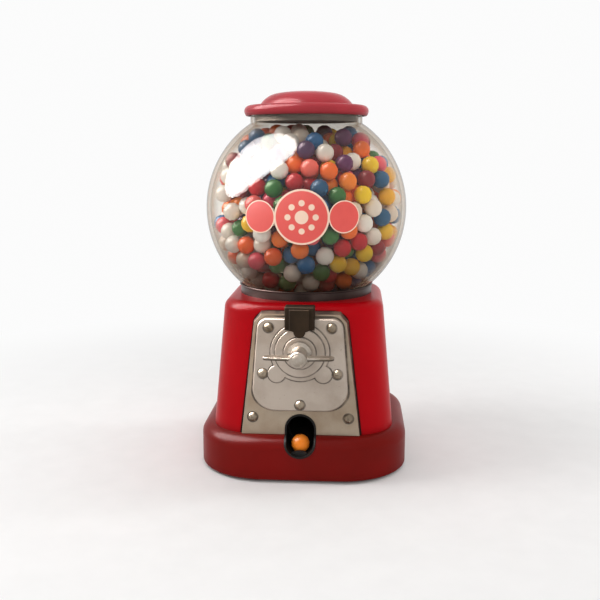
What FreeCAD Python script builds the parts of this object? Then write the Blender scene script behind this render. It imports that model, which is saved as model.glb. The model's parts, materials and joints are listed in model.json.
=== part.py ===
import FreeCAD, Part
import math
import os
import random

os.makedirs("parts", exist_ok=True)

# A penny gumball machine in millimetres. Z is up, the front of the machine faces -Y, X is to the right
# seen from the front, and the origin lies under the globe on the surface that the feet stand on.
Vec = FreeCAD.Vector
UP = Vec(0, 0, 1)
INWARD = Vec(0, 1, 0)
TURN = 360.0

# A cutter runs this far past each face that it goes through
PAST = 1.0

# Base casting, its underside plate and its feet
FOOT_HEIGHT = 2.0
FOOT_RADIUS = 8.0
FOOT_BEVEL = 0.6
FOOT_OFFSET = 52.0
FOOT_STEM_RADIUS = 3.0
FOOT_BARB = 1.1
FOOT_BARB_HEIGHT = 2.2
BASE_WIDTH = 164.0
BASE_HEIGHT = 33.0
BASE_CORNER_RADIUS = 52.0
BASE_SHOULDER_RADIUS = 10.0
BASE_RIM_RADIUS = 1.5
BASE_WALL = 4.0
BASE_DECK = 4.0
DECK_OPENING_WIDTH = 88.0
DECK_OPENING_DEPTH = 112.0
DECK_OPENING_RADIUS = 10.0
BASE_PLATE_SHEET = 2.0
STAND_BOLT_RADIUS = 5.0
GROMMET_RADIUS = 9.0
GROMMET_WALL = 1.6
GROMMET_BEAD = 1.4
BASE_BOSS_RADIUS = 6.0
BASE_BOSS_INSET = 4.5
BASE_BOSS_SPREAD = 20.0

# Tapered body shell
BODY_HEIGHT = 100.0
BODY_TOP_WIDTH = 124.0
BODY_BOTTOM_WIDTH = 142.0
BODY_TOP_DEPTH = 128.0
BODY_BOTTOM_DEPTH = 140.0
BODY_CORNER_RADIUS = 34.0
BODY_SHOULDER_RADIUS = 8.0
BODY_WALL = 3.0
BODY_BOSS_INSET = 16.0
BODY_BOSS_RADIUS = 6.5
BODY_BOSS_HEIGHT = 24.0

# Front plate, a pressed pan that stands proud of the slanting body front
PLATE_PROUD = 1.5
PLATE_SHEET = 1.6
PLATE_FLARE = 1.8
PLATE_TOP_GAP = 6.5
PLATE_FOOT_GAP = 0.2
PLATE_BOTTOM_HALF = 44.9
PLATE_SHOULDER_HALF = 34.4
PLATE_TOP_HALF = 29.2
PLATE_CHAMFER = 6.1
PLATE_SCREW_X = 36.4
PLATE_SCREW_RISE = 13.6
WINDOW_INSET = 4.5
WINDOW_TOP_INSET = 2.0
WINDOW_RISE = 19.0

# Mechanism cover, a shallow pressed pan on the front plate
COVER_DEPTH = 5.4
COVER_SHEET = 1.4
COVER_TOP_HALF = 31.4
COVER_BOTTOM_HALF = 37.2
COVER_ABOVE_SHAFT = 25.3
COVER_BELOW_SHAFT = 45.6
COVER_TOP_RADIUS = 8.0
COVER_BOTTOM_RADIUS = 17.0
COVER_EDGE_RADIUS = 1.2
PAD_RADIUS = 22.0
PAD_HEIGHT = 1.2
EAR_RADIUS = 6.6
EAR_X = 17.4
EAR_DROP = 16.6
RING_RADIUS = 18.6
RING_HEIGHT = 1.2
DIAL_RADIUS = 12.0
DIAL_HEIGHT = 1.0
COVER_SCREWS = [(-23.4, 18.5), (23.4, 18.5), (-28.0, -16.6), (28.0, -16.6)]
COVER_FOOT_SCREW = (0.0, -40.8)

# Screws
SCREW_HEAD_RADIUS = 3.6
SCREW_HEAD_HEIGHT = 2.1
SCREW_SHANK_RADIUS = 1.9
SCREW_SLOT_WIDTH = 0.9
SCREW_SLOT_DEPTH = 0.9
SCREW_CLEARANCE = 0.15
SCREW_HOLE_SPARE = 2.0
PLATE_SCREW_LENGTH = 9.0
BASE_SCREW_LENGTH = 14.0
BASE_SCREW_HEAD = 1.5
BODY_SCREW_GRIP = 14.0
BODY_SCREW_HEAD = 2.4
HOPPER_SCREW_TAIL = 2.0
NUT_RADIUS = 4.0
NUT_HEIGHT = 2.6

# Coin entry
COIN_RADIUS = 9.53
COIN_THICKNESS = 1.6
COIN_CLEARANCE = 0.3
ENTRY_WALL = 1.2
ENTRY_RISE = 9.8
ENTRY_LAP = 7.4
ENTRY_TONGUE = 5.5
ENTRY_PROUD = 5.8
ENTRY_NOSE_HALF = 7.6
ENTRY_TIP_HALF = 4.4
ENTRY_NOSE_PROUD = 1.6
ENTRY_EDGE_RADIUS = 1.0

# Drive shaft and wing handle
SHAFT_DROP = 34.0
SHAFT_RADIUS = 3.0
RUNNING_CLEARANCE = 0.05
FIXED_CLEARANCE = 0.03
MOVING_GAP = 0.3
HUB_RADIUS = 6.3
HUB_COLLAR_RADIUS = 9.0
HUB_COLLAR_LENGTH = 2.4
HUB_LENGTH = 21.5
HUB_NOSE = 1.8
WING_SPAN = 26.0
WING_ROOT_DEPTH = 11.0
WING_TIP_DEPTH = 8.0
WING_THICKNESS = 2.2
WING_GAP = 4.4
CAP_RADIUS = 4.4
CAP_HEIGHT = 1.4

# Coin wheel, coin dog, ratchet and pawl
COIN_WHEEL_RADIUS = 17.5
COIN_SEAT_RADIUS = 14.0
COIN_WHEEL_GAP = 0.55
DOG_ANGLE = 25.0
DOG_PIVOT_ANGLE = 50.0
DOG_PIVOT_RADIUS = 27.0
DOG_HALF_WIDTH = 1.8
DOG_BOSS_RADIUS = 2.7
DOG_PIN_RADIUS = 1.5
RATCHET_TEETH = 10
RATCHET_TIP_RADIUS = 13.4
RATCHET_ROOT_RADIUS = 10.2
RATCHET_WIDTH = 3.0
PAWL_ANGLE = 110.0
PAWL_LENGTH = 15.0
PAWL_NOSE = 2.6
PAWL_NOSE_LENGTH = 2.4
PAWL_NOSE_RAKE = 0.4
PAWL_HEEL = 1.6
PAWL_HALF_WIDTH = 1.5
PAWL_BOSS_RADIUS = 3.5
PAWL_PIN_RADIUS = 2.0
SPRING_STRIP = 0.5
SPRING_POST_RADIUS = 2.0
SPRING_POST_ALONG = 17.0
SPRING_POST_OUT = 6.2
SPRING_TOE = 2.4
SPRING_TOE_LIFT = 0.9

# Frame behind the front plate
BUSH_RADIUS = 5.0
BUSH_FLANGE_RADIUS = 7.5
BUSH_FLANGE = 1.4
REAR_BUSH_LENGTH = 7.0
STANDOFF_RADIUS = 3.6
STANDOFF_LENGTH = 18.0
FRAME_SHEET = 2.2
FRAME_GAP = 4.0
FRAME_HALF_WIDTH = 33.0
FRAME_ABOVE_SHAFT = 26.5
FRAME_BELOW_SHAFT = 22.0
FRAME_CORNER_RADIUS = 6.0

# Pinion and dispensing wheel
GEAR_MODULE = 1.2
PINION_TEETH = 10
WHEEL_TEETH = 60
PRESSURE_ANGLE = 25.0
ADDENDUM = 0.96
DEDENDUM = 1.24
TOOTH_SINK = 0.5
BACKLASH = 0.42
GEAR_FACE = 4.0
PINION_FACE = 3.4
PINION_HUB_LENGTH = 3.0
PINION_HUB_RADIUS = 4.4
WHEEL_RIM = 1.8
WHEEL_THICKNESS = 15.2
WHEEL_POCKETS = 6
POCKET_RADIUS = 8.0
POCKET_CIRCLE = 25.0
POCKET_CHAMFER = 1.2
DROP_ANGLE = 240.0
AXLE_RADIUS = 5.0
AXLE_STUD_RADIUS = 3.5
AXLE_HEAD_RADIUS = 8.0
AXLE_HEAD_HEIGHT = 3.0
AXLE_NUT_MARGIN = 3.2
AXLE_STUD_TAIL = 1.0
AGITATOR_WIRE = 1.3
AGITATOR_FOOT = 13.0
AGITATOR_HEIGHT = 22.0
AGITATOR_SEAT = 6.0

# Hopper casting
HOPPER_WALL = 2.8
HOPPER_NECK_RADIUS = 46.6
HOPPER_MOUTH_RADIUS = 44.8
HOPPER_FLANGE_RADIUS = 51.4
HOPPER_FLANGE = 1.6
HOPPER_FLOOR = 3.0
HOPPER_BOSS_RADIUS = 9.0
HOPPER_BOSS_HEIGHT = 6.0
WELL_CLEARANCE = 0.6
TOOTH_CLEARANCE = 1.0
HOLE_CLEARANCE = 0.4
PINION_WINDOW_GAP = 1.2
DROP_HOLE_RADIUS = 8.6
HOPPER_SCREWS = 4
HOPPER_SCREW_CIRCLE = 49.2
GUARD_SHEET = 1.4
GUARD_INNER = 16.0
GUARD_SPAN = 50.0
GUARD_TAB_SPAN = 24.0
GUARD_TAB_HEIGHT = 8.0

# Delivery chute and outlet
CHUTE_RADIUS = 10.4
CHUTE_WALL = 1.2
CHUTE_BEND_RADIUS = 20.0
CHUTE_SLOPE = 30.0
CHUTE_FLANGE_RADIUS = 12.4
CHUTE_FLANGE = 1.5
OUTLET_WIDTH = 23.7
OUTLET_HEIGHT = 31.6
OUTLET_ABOVE_BASE = 16.4
OUTLET_WALL = 1.3
OUTLET_RIM = 0.6
OUTLET_LENGTH = 30.0
OUTLET_CLEARANCE = 0.2
LIP_HEIGHT = 4.3
LIP_THICKNESS = 2.0
LIP_CURVE_RADIUS = 11.0
LIP_SETBACK = 1.6
VENDED_GAP = 0.15
VENDED_SETBACK = 0.8

# Globe, its gasket and its ring
GLOBE_RADIUS = 80.5
GLASS_WALL = 3.0
GLOBE_FOOT_RADIUS = 51.5
GLOBE_FOOT_HEIGHT = 2.8
GLOBE_NECK_RADIUS = 44.5
GLOBE_NECK_HEIGHT = 6.0
GASKET = 1.4
GASKET_LAP = 1.0
RING_WALL = 1.8
RING_EDGE = 0.2
RING_FIT = 0.3
RING_HEIGHT_ABOVE_FOOT = 1.6

# Lid
LID_RADIUS = 49.4
LID_SHEET = 1.5
LID_CROWN_HALF = 23.0
LID_CROWN_DROP = 1.8
LID_DOME_HALF = 37.0
LID_DOME_RISE = 10.8
LID_BRIM_HEIGHT = 8.5
LID_BRIM_TURN = 4.6
LID_BRIM_FALL = 0.5
LID_BRIM_BOW = 0.4
LID_BRIM_TUCK = 1.6
LID_DROP = 0.4
LID_CLEARANCE = 0.25
PLUG_SHEET = 1.4
PLUG_FIT = 0.5
PLUG_DEPTH = 5.0
PLUG_FLANGE = 4.6

# Gumballs
GUMBALL_DIAMETER = 14.0
GUMBALL_GAP = 0.3
GUMBALL_FILL = 0.945
GUMBALL_SEED = 11
SETTLING_PASSES = 300
SETTLING_SINK = 0.06
GUMBALL_COLOURS = {
    "white": 0.23, "red": 0.13, "orange": 0.14, "yellow": 0.11,
    "green": 0.09, "blue": 0.12, "purple": 0.07, "pink": 0.11,
}

# Heights that follow from the sizes above
BASE_PLATE_TOP = FOOT_HEIGHT + BASE_PLATE_SHEET
BASE_TOP = FOOT_HEIGHT + BASE_HEIGHT
BODY_TOP = BASE_TOP + BODY_HEIGHT
SHAFT_Z = BODY_TOP - SHAFT_DROP
PLATE_BOTTOM_Z = BASE_TOP + PLATE_FOOT_GAP
PLATE_TOP_Z = BODY_TOP - PLATE_TOP_GAP
PLATE_SHOULDER_Z = PLATE_TOP_Z - PLATE_CHAMFER
COVER_TOP_Z = SHAFT_Z + COVER_ABOVE_SHAFT
COVER_BOTTOM_Z = SHAFT_Z - COVER_BELOW_SHAFT
OUTLET_TOP_Z = BASE_TOP + OUTLET_ABOVE_BASE
OUTLET_BOTTOM_Z = OUTLET_TOP_Z - OUTLET_HEIGHT
PINION_PITCH_RADIUS = GEAR_MODULE * PINION_TEETH / 2
PITCH_PLANE_Z = SHAFT_Z + PINION_PITCH_RADIUS
WHEEL_UNDER_Z = PITCH_PLANE_Z + DEDENDUM
WHEEL_TOP_Z = WHEEL_UNDER_Z + WHEEL_THICKNESS
FLOOR_TOP_Z = WHEEL_UNDER_Z - MOVING_GAP
TOOTH_TIP_Z = PITCH_PLANE_Z - ADDENDUM
GROOVE_Z = TOOTH_TIP_Z - TOOTH_CLEARANCE
FLOOR_UNDER_Z = GROOVE_Z - HOPPER_FLOOR
GUARD_Z = WHEEL_TOP_Z + 2 * MOVING_GAP
FLANGE_TOP_Z = BODY_TOP + HOPPER_FLANGE
GLOBE_FOOT_Z = FLANGE_TOP_Z + GASKET
FOOT_JOIN_Z = GLOBE_FOOT_Z + GLOBE_FOOT_HEIGHT
GLOBE_Z = FOOT_JOIN_Z + math.sqrt(GLOBE_RADIUS ** 2 - GLOBE_FOOT_RADIUS ** 2)
NECK_JOIN_Z = GLOBE_Z + math.sqrt(GLOBE_RADIUS ** 2 - GLOBE_NECK_RADIUS ** 2)
NECK_TOP_Z = NECK_JOIN_Z + GLOBE_NECK_HEIGHT
LID_SEAL_Z = NECK_TOP_Z + LID_CLEARANCE
PLUG_SEAT_Z = LID_SEAL_Z + GASKET
PLUG_BOTTOM_Z = NECK_TOP_Z - PLUG_DEPTH
LID_BOTTOM_Z = NECK_TOP_Z - LID_DROP
BRIM_TOP_Z = LID_BOTTOM_Z + LID_BRIM_HEIGHT

# Distances from front to back that follow from the sizes above
PLATE_Y = -(BODY_BOTTOM_DEPTH / 2 + PLATE_PROUD)
PLATE_BACK_Y = PLATE_Y + PLATE_SHEET
COVER_Y = PLATE_Y - COVER_DEPTH
COVER_INSIDE_Y = COVER_Y + COVER_SHEET
DIAL_Y = COVER_Y - PAD_HEIGHT - RING_HEIGHT - DIAL_HEIGHT
ENTRY_Y = COVER_Y - ENTRY_PROUD
HUB_BACK_Y = DIAL_Y - MOVING_GAP
HUB_FRONT_Y = HUB_BACK_Y - HUB_LENGTH
RATCHET_Y = PLATE_BACK_Y + BUSH_FLANGE + 2 * MOVING_GAP
WHEEL_PITCH_RADIUS = GEAR_MODULE * WHEEL_TEETH / 2
WHEEL_RADIUS = WHEEL_PITCH_RADIUS + GEAR_FACE / 2 + WHEEL_RIM
WELL_RADIUS = WHEEL_RADIUS + WELL_CLEARANCE
FRAME_LIMIT_Y = -(WELL_RADIUS + HOPPER_WALL) - FRAME_GAP - FRAME_SHEET
FRAME_Y = min(PLATE_BACK_Y + STANDOFF_LENGTH, FRAME_LIMIT_Y)
FRAME_BACK_Y = FRAME_Y + FRAME_SHEET
PINION_FRONT_Y = -WHEEL_PITCH_RADIUS - PINION_FACE / 2
PINION_BACK_Y = -WHEEL_PITCH_RADIUS + PINION_FACE / 2
OUTLET_BACK_Y = -BASE_WIDTH / 2 + OUTLET_LENGTH

# Other derived sizes
GUMBALL_RADIUS = GUMBALL_DIAMETER / 2
GLASS_INNER_RADIUS = GLOBE_RADIUS - GLASS_WALL
NECK_INNER_RADIUS = GLOBE_NECK_RADIUS - GLASS_WALL
FOOT_INNER_RADIUS = GLOBE_FOOT_RADIUS - GLASS_WALL
RING_INNER_RADIUS = GLOBE_FOOT_RADIUS + RING_FIT
OUTLET_HALF = OUTLET_WIDTH / 2
ENTRY_HALF = COIN_RADIUS + COIN_CLEARANCE + ENTRY_WALL
BASE_CORNER_ROOM = BASE_CORNER_RADIUS - BASE_WALL - SCREW_HEAD_RADIUS - MOVING_GAP
BASE_SCREW_REACH = BASE_WIDTH / 2 - BASE_CORNER_RADIUS + BASE_CORNER_ROOM / math.sqrt(2)
BODY_BOSS_X = min(BODY_BOTTOM_WIDTH / 2 - BODY_BOSS_INSET, BASE_SCREW_REACH)
BODY_BOSS_Y = min(BODY_BOTTOM_DEPTH / 2 - BODY_BOSS_INSET, BASE_SCREW_REACH)
BASE_BOSS_X = BASE_WIDTH / 2 - BASE_WALL - BASE_BOSS_INSET
DROP_X = POCKET_CIRCLE * math.cos(math.radians(DROP_ANGLE))
DROP_Y = POCKET_CIRCLE * math.sin(math.radians(DROP_ANGLE))
CORNERS = [(-1, -1), (1, -1), (1, 1), (-1, 1)]


def save(node, shape):
    """Write one node's solids to its own file."""
    shape.exportStep("parts/" + node + ".step")
    print(node, "solids", len(shape.Solids), "valid", shape.isValid())


def along_y(radius, x, z, y0, y1):
    """Round bar running from front to back."""
    return Part.makeCylinder(radius, y1 - y0, Vec(x, y0, z), INWARD)


def along_z(radius, x, y, z0, z1):
    """Upright round bar."""
    return Part.makeCylinder(radius, z1 - z0, Vec(x, y, z0), UP)


def block(x0, x1, y0, y1, z0, z1):
    """Box between two corners."""
    return Part.makeBox(x1 - x0, y1 - y0, z1 - z0, Vec(x0, y0, z0))


def outline(place, start, steps):
    """Closed face: a step is a point at the end of a straight run, or an arc's (through, end) pair."""
    edges = []
    here = place(*start)
    for step in list(steps) + [start]:
        if isinstance(step[0], tuple):
            end = place(*step[1])
            edges.append(Part.Arc(here, place(*step[0]), end).toShape())
        else:
            end = place(*step)
            if here.distanceToPoint(end) > 1e-6:
                edges.append(Part.makeLine(here, end))
        here = end
    return Part.Face(Part.Wire(edges))


def front_view(y):
    """Places (x, z) points on the upright plane at y."""
    return lambda x, z: Vec(x, y, z)


def turned_z(start, steps, angle=TURN):
    """Solid turned about the machine's upright axis from a (radius, height) outline."""
    face = outline(lambda r, z: Vec(r, 0, z), start, steps)
    return face.revolve(Vec(0, 0, 0), UP, angle)


def turned_y(x, z, start, steps):
    """Solid turned about a front to back axis from a (radius, y) outline."""
    face = outline(lambda r, y: Vec(x + r, y, z), start, steps)
    return face.revolve(Vec(x, 0, z), INWARD, TURN)


def dome_middle(half, rise):
    """Middle of a round dome's arc from its top to its edge: its radius and its height over the edge."""
    sphere = (half ** 2 + rise ** 2) / (2 * rise)
    spread = math.asin(half / sphere) / 2
    return sphere * math.sin(spread), rise - sphere * (1 - math.cos(spread))


def tangent_middle(start, fall, end):
    """Middle of the (radius, height) arc that leaves start falling at an angle and bends down to end."""
    out = end[0] - start[0]
    down = start[1] - end[1]
    bow = math.tan((math.atan2(down, out) - fall) / 2) / 2
    return start[0] + out / 2 + down * bow, start[1] - down / 2 + out * bow


def slab_y(start, steps, y0, y1):
    """Upright slab with an (x, z) outline."""
    return outline(front_view(y0), start, steps).extrude(Vec(0, y1 - y0, 0))


def slab_z(start, steps, z0, z1):
    """Flat slab with an (x, y) outline."""
    return outline(lambda x, y: Vec(x, y, z0), start, steps).extrude(Vec(0, 0, z1 - z0))


def rounded_slab(half_x, half_y, radius, z0, z1):
    """Flat slab with a rounded rectangle for its outline."""
    slab = block(-half_x, half_x, -half_y, half_y, z0, z1)
    return slab.makeFillet(radius, upright_edges(slab))


def upright_edges(shape):
    """Edges that run mostly upwards."""
    return [e for e in shape.Edges if e.BoundBox.ZLength > 0.5 * e.Length]


def deep_edges(shape):
    """Edges that run from front to back."""
    return [e for e in shape.Edges if e.BoundBox.YLength > 0.99 * e.Length]


def edges_at_z(shape, z):
    """Edges lying at one height."""
    return [e for e in shape.Edges if abs(e.BoundBox.ZMin - z) < 1e-4 and abs(e.BoundBox.ZMax - z) < 1e-4]


def edges_at_y(shape, y):
    """Edges lying on one upright plane."""
    return [e for e in shape.Edges if abs(e.BoundBox.YMin - y) < 1e-4 and abs(e.BoundBox.YMax - y) < 1e-4]


def body_half_width(z):
    """Half of the body's outside width at a height."""
    share = (z - BASE_TOP) / BODY_HEIGHT
    return (BODY_BOTTOM_WIDTH + (BODY_TOP_WIDTH - BODY_BOTTOM_WIDTH) * share) / 2


def body_half_depth(z):
    """Half of the body's outside depth at a height."""
    share = (z - BASE_TOP) / BODY_HEIGHT
    return (BODY_BOTTOM_DEPTH + (BODY_TOP_DEPTH - BODY_BOTTOM_DEPTH) * share) / 2


def body_form(inset, z0, z1):
    """Tapered block with rounded upright corners and a rounded top edge, set in from the body's outside."""
    ends = []
    for z in (z0, z1):
        half_x = body_half_width(z) - inset
        half_y = body_half_depth(z) - inset
        ring = [Vec(i * half_x, j * half_y, z) for i, j in CORNERS]
        ends.append(Part.makePolygon(ring + ring[:1]))
    form = Part.makeLoft(ends, True, True)
    form = form.makeFillet(BODY_CORNER_RADIUS - inset, upright_edges(form))
    return form.makeFillet(BODY_SHOULDER_RADIUS - inset, edges_at_z(form, z1))


def outlet_form(margin, y0, y1):
    """Upright oval bar of the outlet's outline, grown by a margin."""
    r = OUTLET_HALF + margin
    low = OUTLET_BOTTOM_Z + OUTLET_HALF
    high = OUTLET_TOP_Z - OUTLET_HALF
    steps = [(r, high), ((0, high + r), (-r, high)), (-r, low), ((0, low - r), (r, low))]
    return slab_y((r, low), steps, y0, y1)


def plate_half(z):
    """Half of the front plate's width at a height below its chamfers."""
    share = (z - PLATE_BOTTOM_Z) / (PLATE_SHOULDER_Z - PLATE_BOTTOM_Z)
    return PLATE_BOTTOM_HALF + (PLATE_SHOULDER_HALF - PLATE_BOTTOM_HALF) * share


def plate_ring(y, grow, bottom):
    """Closed outline of the front plate on a plane, grown sideways and upwards."""
    half = [
        (plate_half(bottom) + grow, bottom),
        (PLATE_SHOULDER_HALF + grow, PLATE_SHOULDER_Z),
        (PLATE_TOP_HALF + grow / 2, PLATE_TOP_Z + grow),
    ]
    ring = [Vec(x, y, z) for x, z in half] + [Vec(-x, y, z) for x, z in reversed(half)]
    return Part.makePolygon(ring + ring[:1])


def cover_form(inset, y0, y1):
    """Slab with the mechanism cover's outline, set in all round."""
    top = COVER_TOP_Z - inset
    bottom = COVER_BOTTOM_Z + inset
    wide = COVER_BOTTOM_HALF - inset
    narrow = COVER_TOP_HALF - inset
    slab = slab_y((-wide, bottom), [(wide, bottom), (narrow, top), (-narrow, top)], y0, y1)
    middle = (top + bottom) / 2
    upper = [e for e in deep_edges(slab) if e.BoundBox.ZMin > middle]
    slab = slab.makeFillet(COVER_TOP_RADIUS - inset, upper)
    lower = [e for e in deep_edges(slab) if abs(e.BoundBox.ZMin - bottom) < 1e-3]
    return slab.makeFillet(COVER_BOTTOM_RADIUS - inset, lower)


def round_screw(x, z, face_y, length, slot_angle):
    """Slotted round-head screw driven inwards, its head seated on face_y."""
    top = face_y - SCREW_HEAD_HEIGHT
    middle_r, middle_h = dome_middle(SCREW_HEAD_RADIUS, SCREW_HEAD_HEIGHT)
    steps = [
        ((middle_r, face_y - middle_h), (SCREW_HEAD_RADIUS, face_y)),
        (SCREW_SHANK_RADIUS, face_y),
        (SCREW_SHANK_RADIUS, face_y + length),
        (0, face_y + length),
    ]
    screw = turned_y(x, z, (0, top), steps)
    reach = SCREW_HEAD_RADIUS + PAST
    half = SCREW_SLOT_WIDTH / 2
    slot = block(x - reach, x + reach, top - PAST, top + SCREW_SLOT_DEPTH, z - half, z + half)
    slot.rotate(Vec(x, 0, z), INWARD, slot_angle)
    return screw.cut(slot)


def screw_hole(x, z, y0, y1):
    """Clearance hole for a round-head screw."""
    return along_y(SCREW_SHANK_RADIUS + SCREW_CLEARANCE, x, z, y0, y1)


def cover_screw_places():
    """Centres of the five screws that hold the mechanism cover."""
    return [(x, SHAFT_Z + up) for x, up in COVER_SCREWS + [COVER_FOOT_SCREW]]


def standoff_places():
    """Centres of the four standoffs behind the front plate."""
    return [(x, SHAFT_Z + up) for x, up in COVER_SCREWS]


def plate_screw_places():
    """Centres of the two screws at the foot of the front plate."""
    return [(side * PLATE_SCREW_X, BASE_TOP + PLATE_SCREW_RISE) for side in (-1, 1)]


def base_form():
    """Outside of the base: a rounded square with a rounded shoulder."""
    half = BASE_WIDTH / 2
    form = rounded_slab(half, half, BASE_CORNER_RADIUS, FOOT_HEIGHT, BASE_TOP)
    form = form.makeFillet(BASE_SHOULDER_RADIUS, edges_at_z(form, BASE_TOP))
    return form.makeFillet(BASE_RIM_RADIUS, edges_at_z(form, FOOT_HEIGHT))


def base_inside(margin, z0, z1):
    """Hollow of the base, set in by a margin."""
    inset = BASE_WALL + margin
    half = BASE_WIDTH / 2 - inset
    return rounded_slab(half, half, BASE_CORNER_RADIUS - inset, z0, z1)


def base_boss_places():
    """Centres of the four screw posts under the base deck."""
    return [(i * BASE_BOSS_X, j * BASE_BOSS_SPREAD) for i, j in CORNERS]


def body_boss_places():
    """Centres of the four screw posts in the foot of the body."""
    return [(i * BODY_BOSS_X, j * BODY_BOSS_Y) for i, j in CORNERS]


def base_casting():
    """Hollow base with an open deck, four screw posts and the outlet's notch."""
    deck_under = BASE_TOP - BASE_DECK
    form = base_form()
    casting = form.cut(base_inside(0, FOOT_HEIGHT - PAST, deck_under))
    into_deck = deck_under + PAST
    posts = [along_z(BASE_BOSS_RADIUS, x, y, BASE_PLATE_TOP, into_deck) for x, y in base_boss_places()]
    casting = casting.fuse([post.common(form) for post in posts])
    opening = rounded_slab(
        DECK_OPENING_WIDTH / 2, DECK_OPENING_DEPTH / 2, DECK_OPENING_RADIUS,
        deck_under - PAST, BASE_TOP + PAST)
    cuts = [opening, outlet_form(OUTLET_CLEARANCE, -BASE_WIDTH, OUTLET_BACK_Y + PAST)]
    hole = SCREW_SHANK_RADIUS + SCREW_CLEARANCE
    screw_end = FOOT_HEIGHT + BASE_SCREW_LENGTH + SCREW_HOLE_SPARE
    cuts += [along_z(hole, x, y, FOOT_HEIGHT, screw_end) for x, y in base_boss_places()]
    cuts += [along_z(hole, x, y, deck_under - PAST, BASE_TOP + PAST) for x, y in body_boss_places()]
    return casting.cut(cuts).removeSplitter()


def base_plate():
    """Sheet that closes the base from below, with holes for the feet, the screws and the grommet."""
    plate = base_inside(MOVING_GAP, FOOT_HEIGHT, BASE_PLATE_TOP)
    over = BASE_PLATE_TOP + PAST
    hole = SCREW_SHANK_RADIUS + SCREW_CLEARANCE
    grommet = STAND_BOLT_RADIUS + GROMMET_WALL + SCREW_CLEARANCE
    stem = FOOT_STEM_RADIUS + SCREW_CLEARANCE
    cuts = [along_z(grommet, 0, 0, 0, over)]
    cuts += [along_z(hole, x, y, 0, over) for x, y in base_boss_places()]
    cuts += [along_z(stem, i * FOOT_OFFSET, j * FOOT_OFFSET, 0, over) for i, j in CORNERS]
    return plate.cut(cuts)


def upward_screw(x, y, seat_z, length, head_height):
    """Pan-head screw driven upwards, its head under seat_z."""
    head = along_z(SCREW_HEAD_RADIUS, x, y, seat_z - head_height, seat_z)
    head = head.makeChamfer(head_height / 3, edges_at_z(head, seat_z - head_height))
    return head.fuse(along_z(SCREW_SHANK_RADIUS, x, y, seat_z, seat_z + length)).removeSplitter()


def base_plate_screws():
    """Four screws that hold the underside plate."""
    places = base_boss_places()
    screws = [upward_screw(x, y, FOOT_HEIGHT, BASE_SCREW_LENGTH, BASE_SCREW_HEAD) for x, y in places]
    return Part.makeCompound(screws)


def body_screws():
    """Four screws up through the base deck into the body."""
    seat = BASE_TOP - BASE_DECK
    length = BASE_DECK + BODY_SCREW_GRIP
    screws = [upward_screw(x, y, seat, length, BODY_SCREW_HEAD) for x, y in body_boss_places()]
    return Part.makeCompound(screws)


def rubber_feet():
    """Four push-in feet, each with a barb above the underside plate."""
    barb_top = BASE_PLATE_TOP + FOOT_BARB_HEIGHT
    steps = [
        (FOOT_RADIUS - FOOT_BEVEL, 0), (FOOT_RADIUS, FOOT_HEIGHT / 2), (FOOT_RADIUS, FOOT_HEIGHT),
        (FOOT_STEM_RADIUS, FOOT_HEIGHT), (FOOT_STEM_RADIUS, BASE_PLATE_TOP),
        (FOOT_STEM_RADIUS + FOOT_BARB, BASE_PLATE_TOP), (FOOT_STEM_RADIUS, barb_top), (0, barb_top),
    ]
    foot = turned_z((0, 0), steps)
    feet = [foot.translated(Vec(i * FOOT_OFFSET, j * FOOT_OFFSET, 0)) for i, j in CORNERS]
    return Part.makeCompound(feet)


def stand_grommet():
    """Rubber grommet that lines the stand bolt's hole, its sole level with the feet."""
    stem = STAND_BOLT_RADIUS + GROMMET_WALL
    bead_top = BASE_PLATE_TOP + GROMMET_BEAD
    steps = [
        (GROMMET_RADIUS, 0), (GROMMET_RADIUS, FOOT_HEIGHT), (stem, FOOT_HEIGHT), (stem, BASE_PLATE_TOP),
        (stem + GROMMET_BEAD, BASE_PLATE_TOP), (stem, bead_top), (STAND_BOLT_RADIUS, bead_top),
    ]
    return turned_z((STAND_BOLT_RADIUS, 0), steps)


def window_form():
    """Opening in the body's front for the mechanism, set in from the front plate's outline."""
    bottom = PLATE_BOTTOM_Z + WINDOW_RISE
    low = plate_half(bottom) - WINDOW_INSET
    high = PLATE_SHOULDER_HALF - WINDOW_INSET
    top_half = PLATE_TOP_HALF - WINDOW_INSET
    top = PLATE_TOP_Z - WINDOW_TOP_INSET
    steps = [
        (low, bottom), (high, PLATE_SHOULDER_Z), (top_half, top), (-top_half, top), (-high, PLATE_SHOULDER_Z)]
    return slab_y((-low, bottom), steps, PLATE_Y, FRAME_Y)


def body_shell():
    """Tapered sheet body, open below, with the hopper's hole, the mechanism window and the outlet's notch."""
    form = body_form(0, BASE_TOP, BODY_TOP)
    shell = form.cut(body_form(BODY_WALL, BASE_TOP - PAST, BODY_TOP - BODY_WALL))
    top = BASE_TOP + BODY_BOSS_HEIGHT
    posts = [along_z(BODY_BOSS_RADIUS, x, y, BASE_TOP, top).common(form) for x, y in body_boss_places()]
    shell = shell.fuse(posts)
    hole = SCREW_SHANK_RADIUS + SCREW_CLEARANCE
    cuts = [along_z(HOPPER_NECK_RADIUS + HOLE_CLEARANCE, 0, 0, SHAFT_Z, BODY_TOP + PAST)]
    cuts += [window_form(), outlet_form(OUTLET_CLEARANCE, PLATE_Y, OUTLET_BACK_Y + PAST)]
    screw_end = BASE_TOP + BODY_SCREW_GRIP + SCREW_HOLE_SPARE
    cuts += [along_z(hole, x, y, BASE_TOP - PAST, screw_end) for x, y in body_boss_places()]
    plate_screw_end = PLATE_Y + PLATE_SCREW_LENGTH + SCREW_HOLE_SPARE
    cuts += [screw_hole(x, z, PLATE_Y, plate_screw_end) for x, z in plate_screw_places()]
    under = BODY_TOP - BODY_WALL - HOPPER_SCREW_TAIL
    cuts += [along_z(hole, x, y, under, BODY_TOP + PAST) for x, y in hopper_screw_places()]
    return shell.cut(cuts).removeSplitter()


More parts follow.
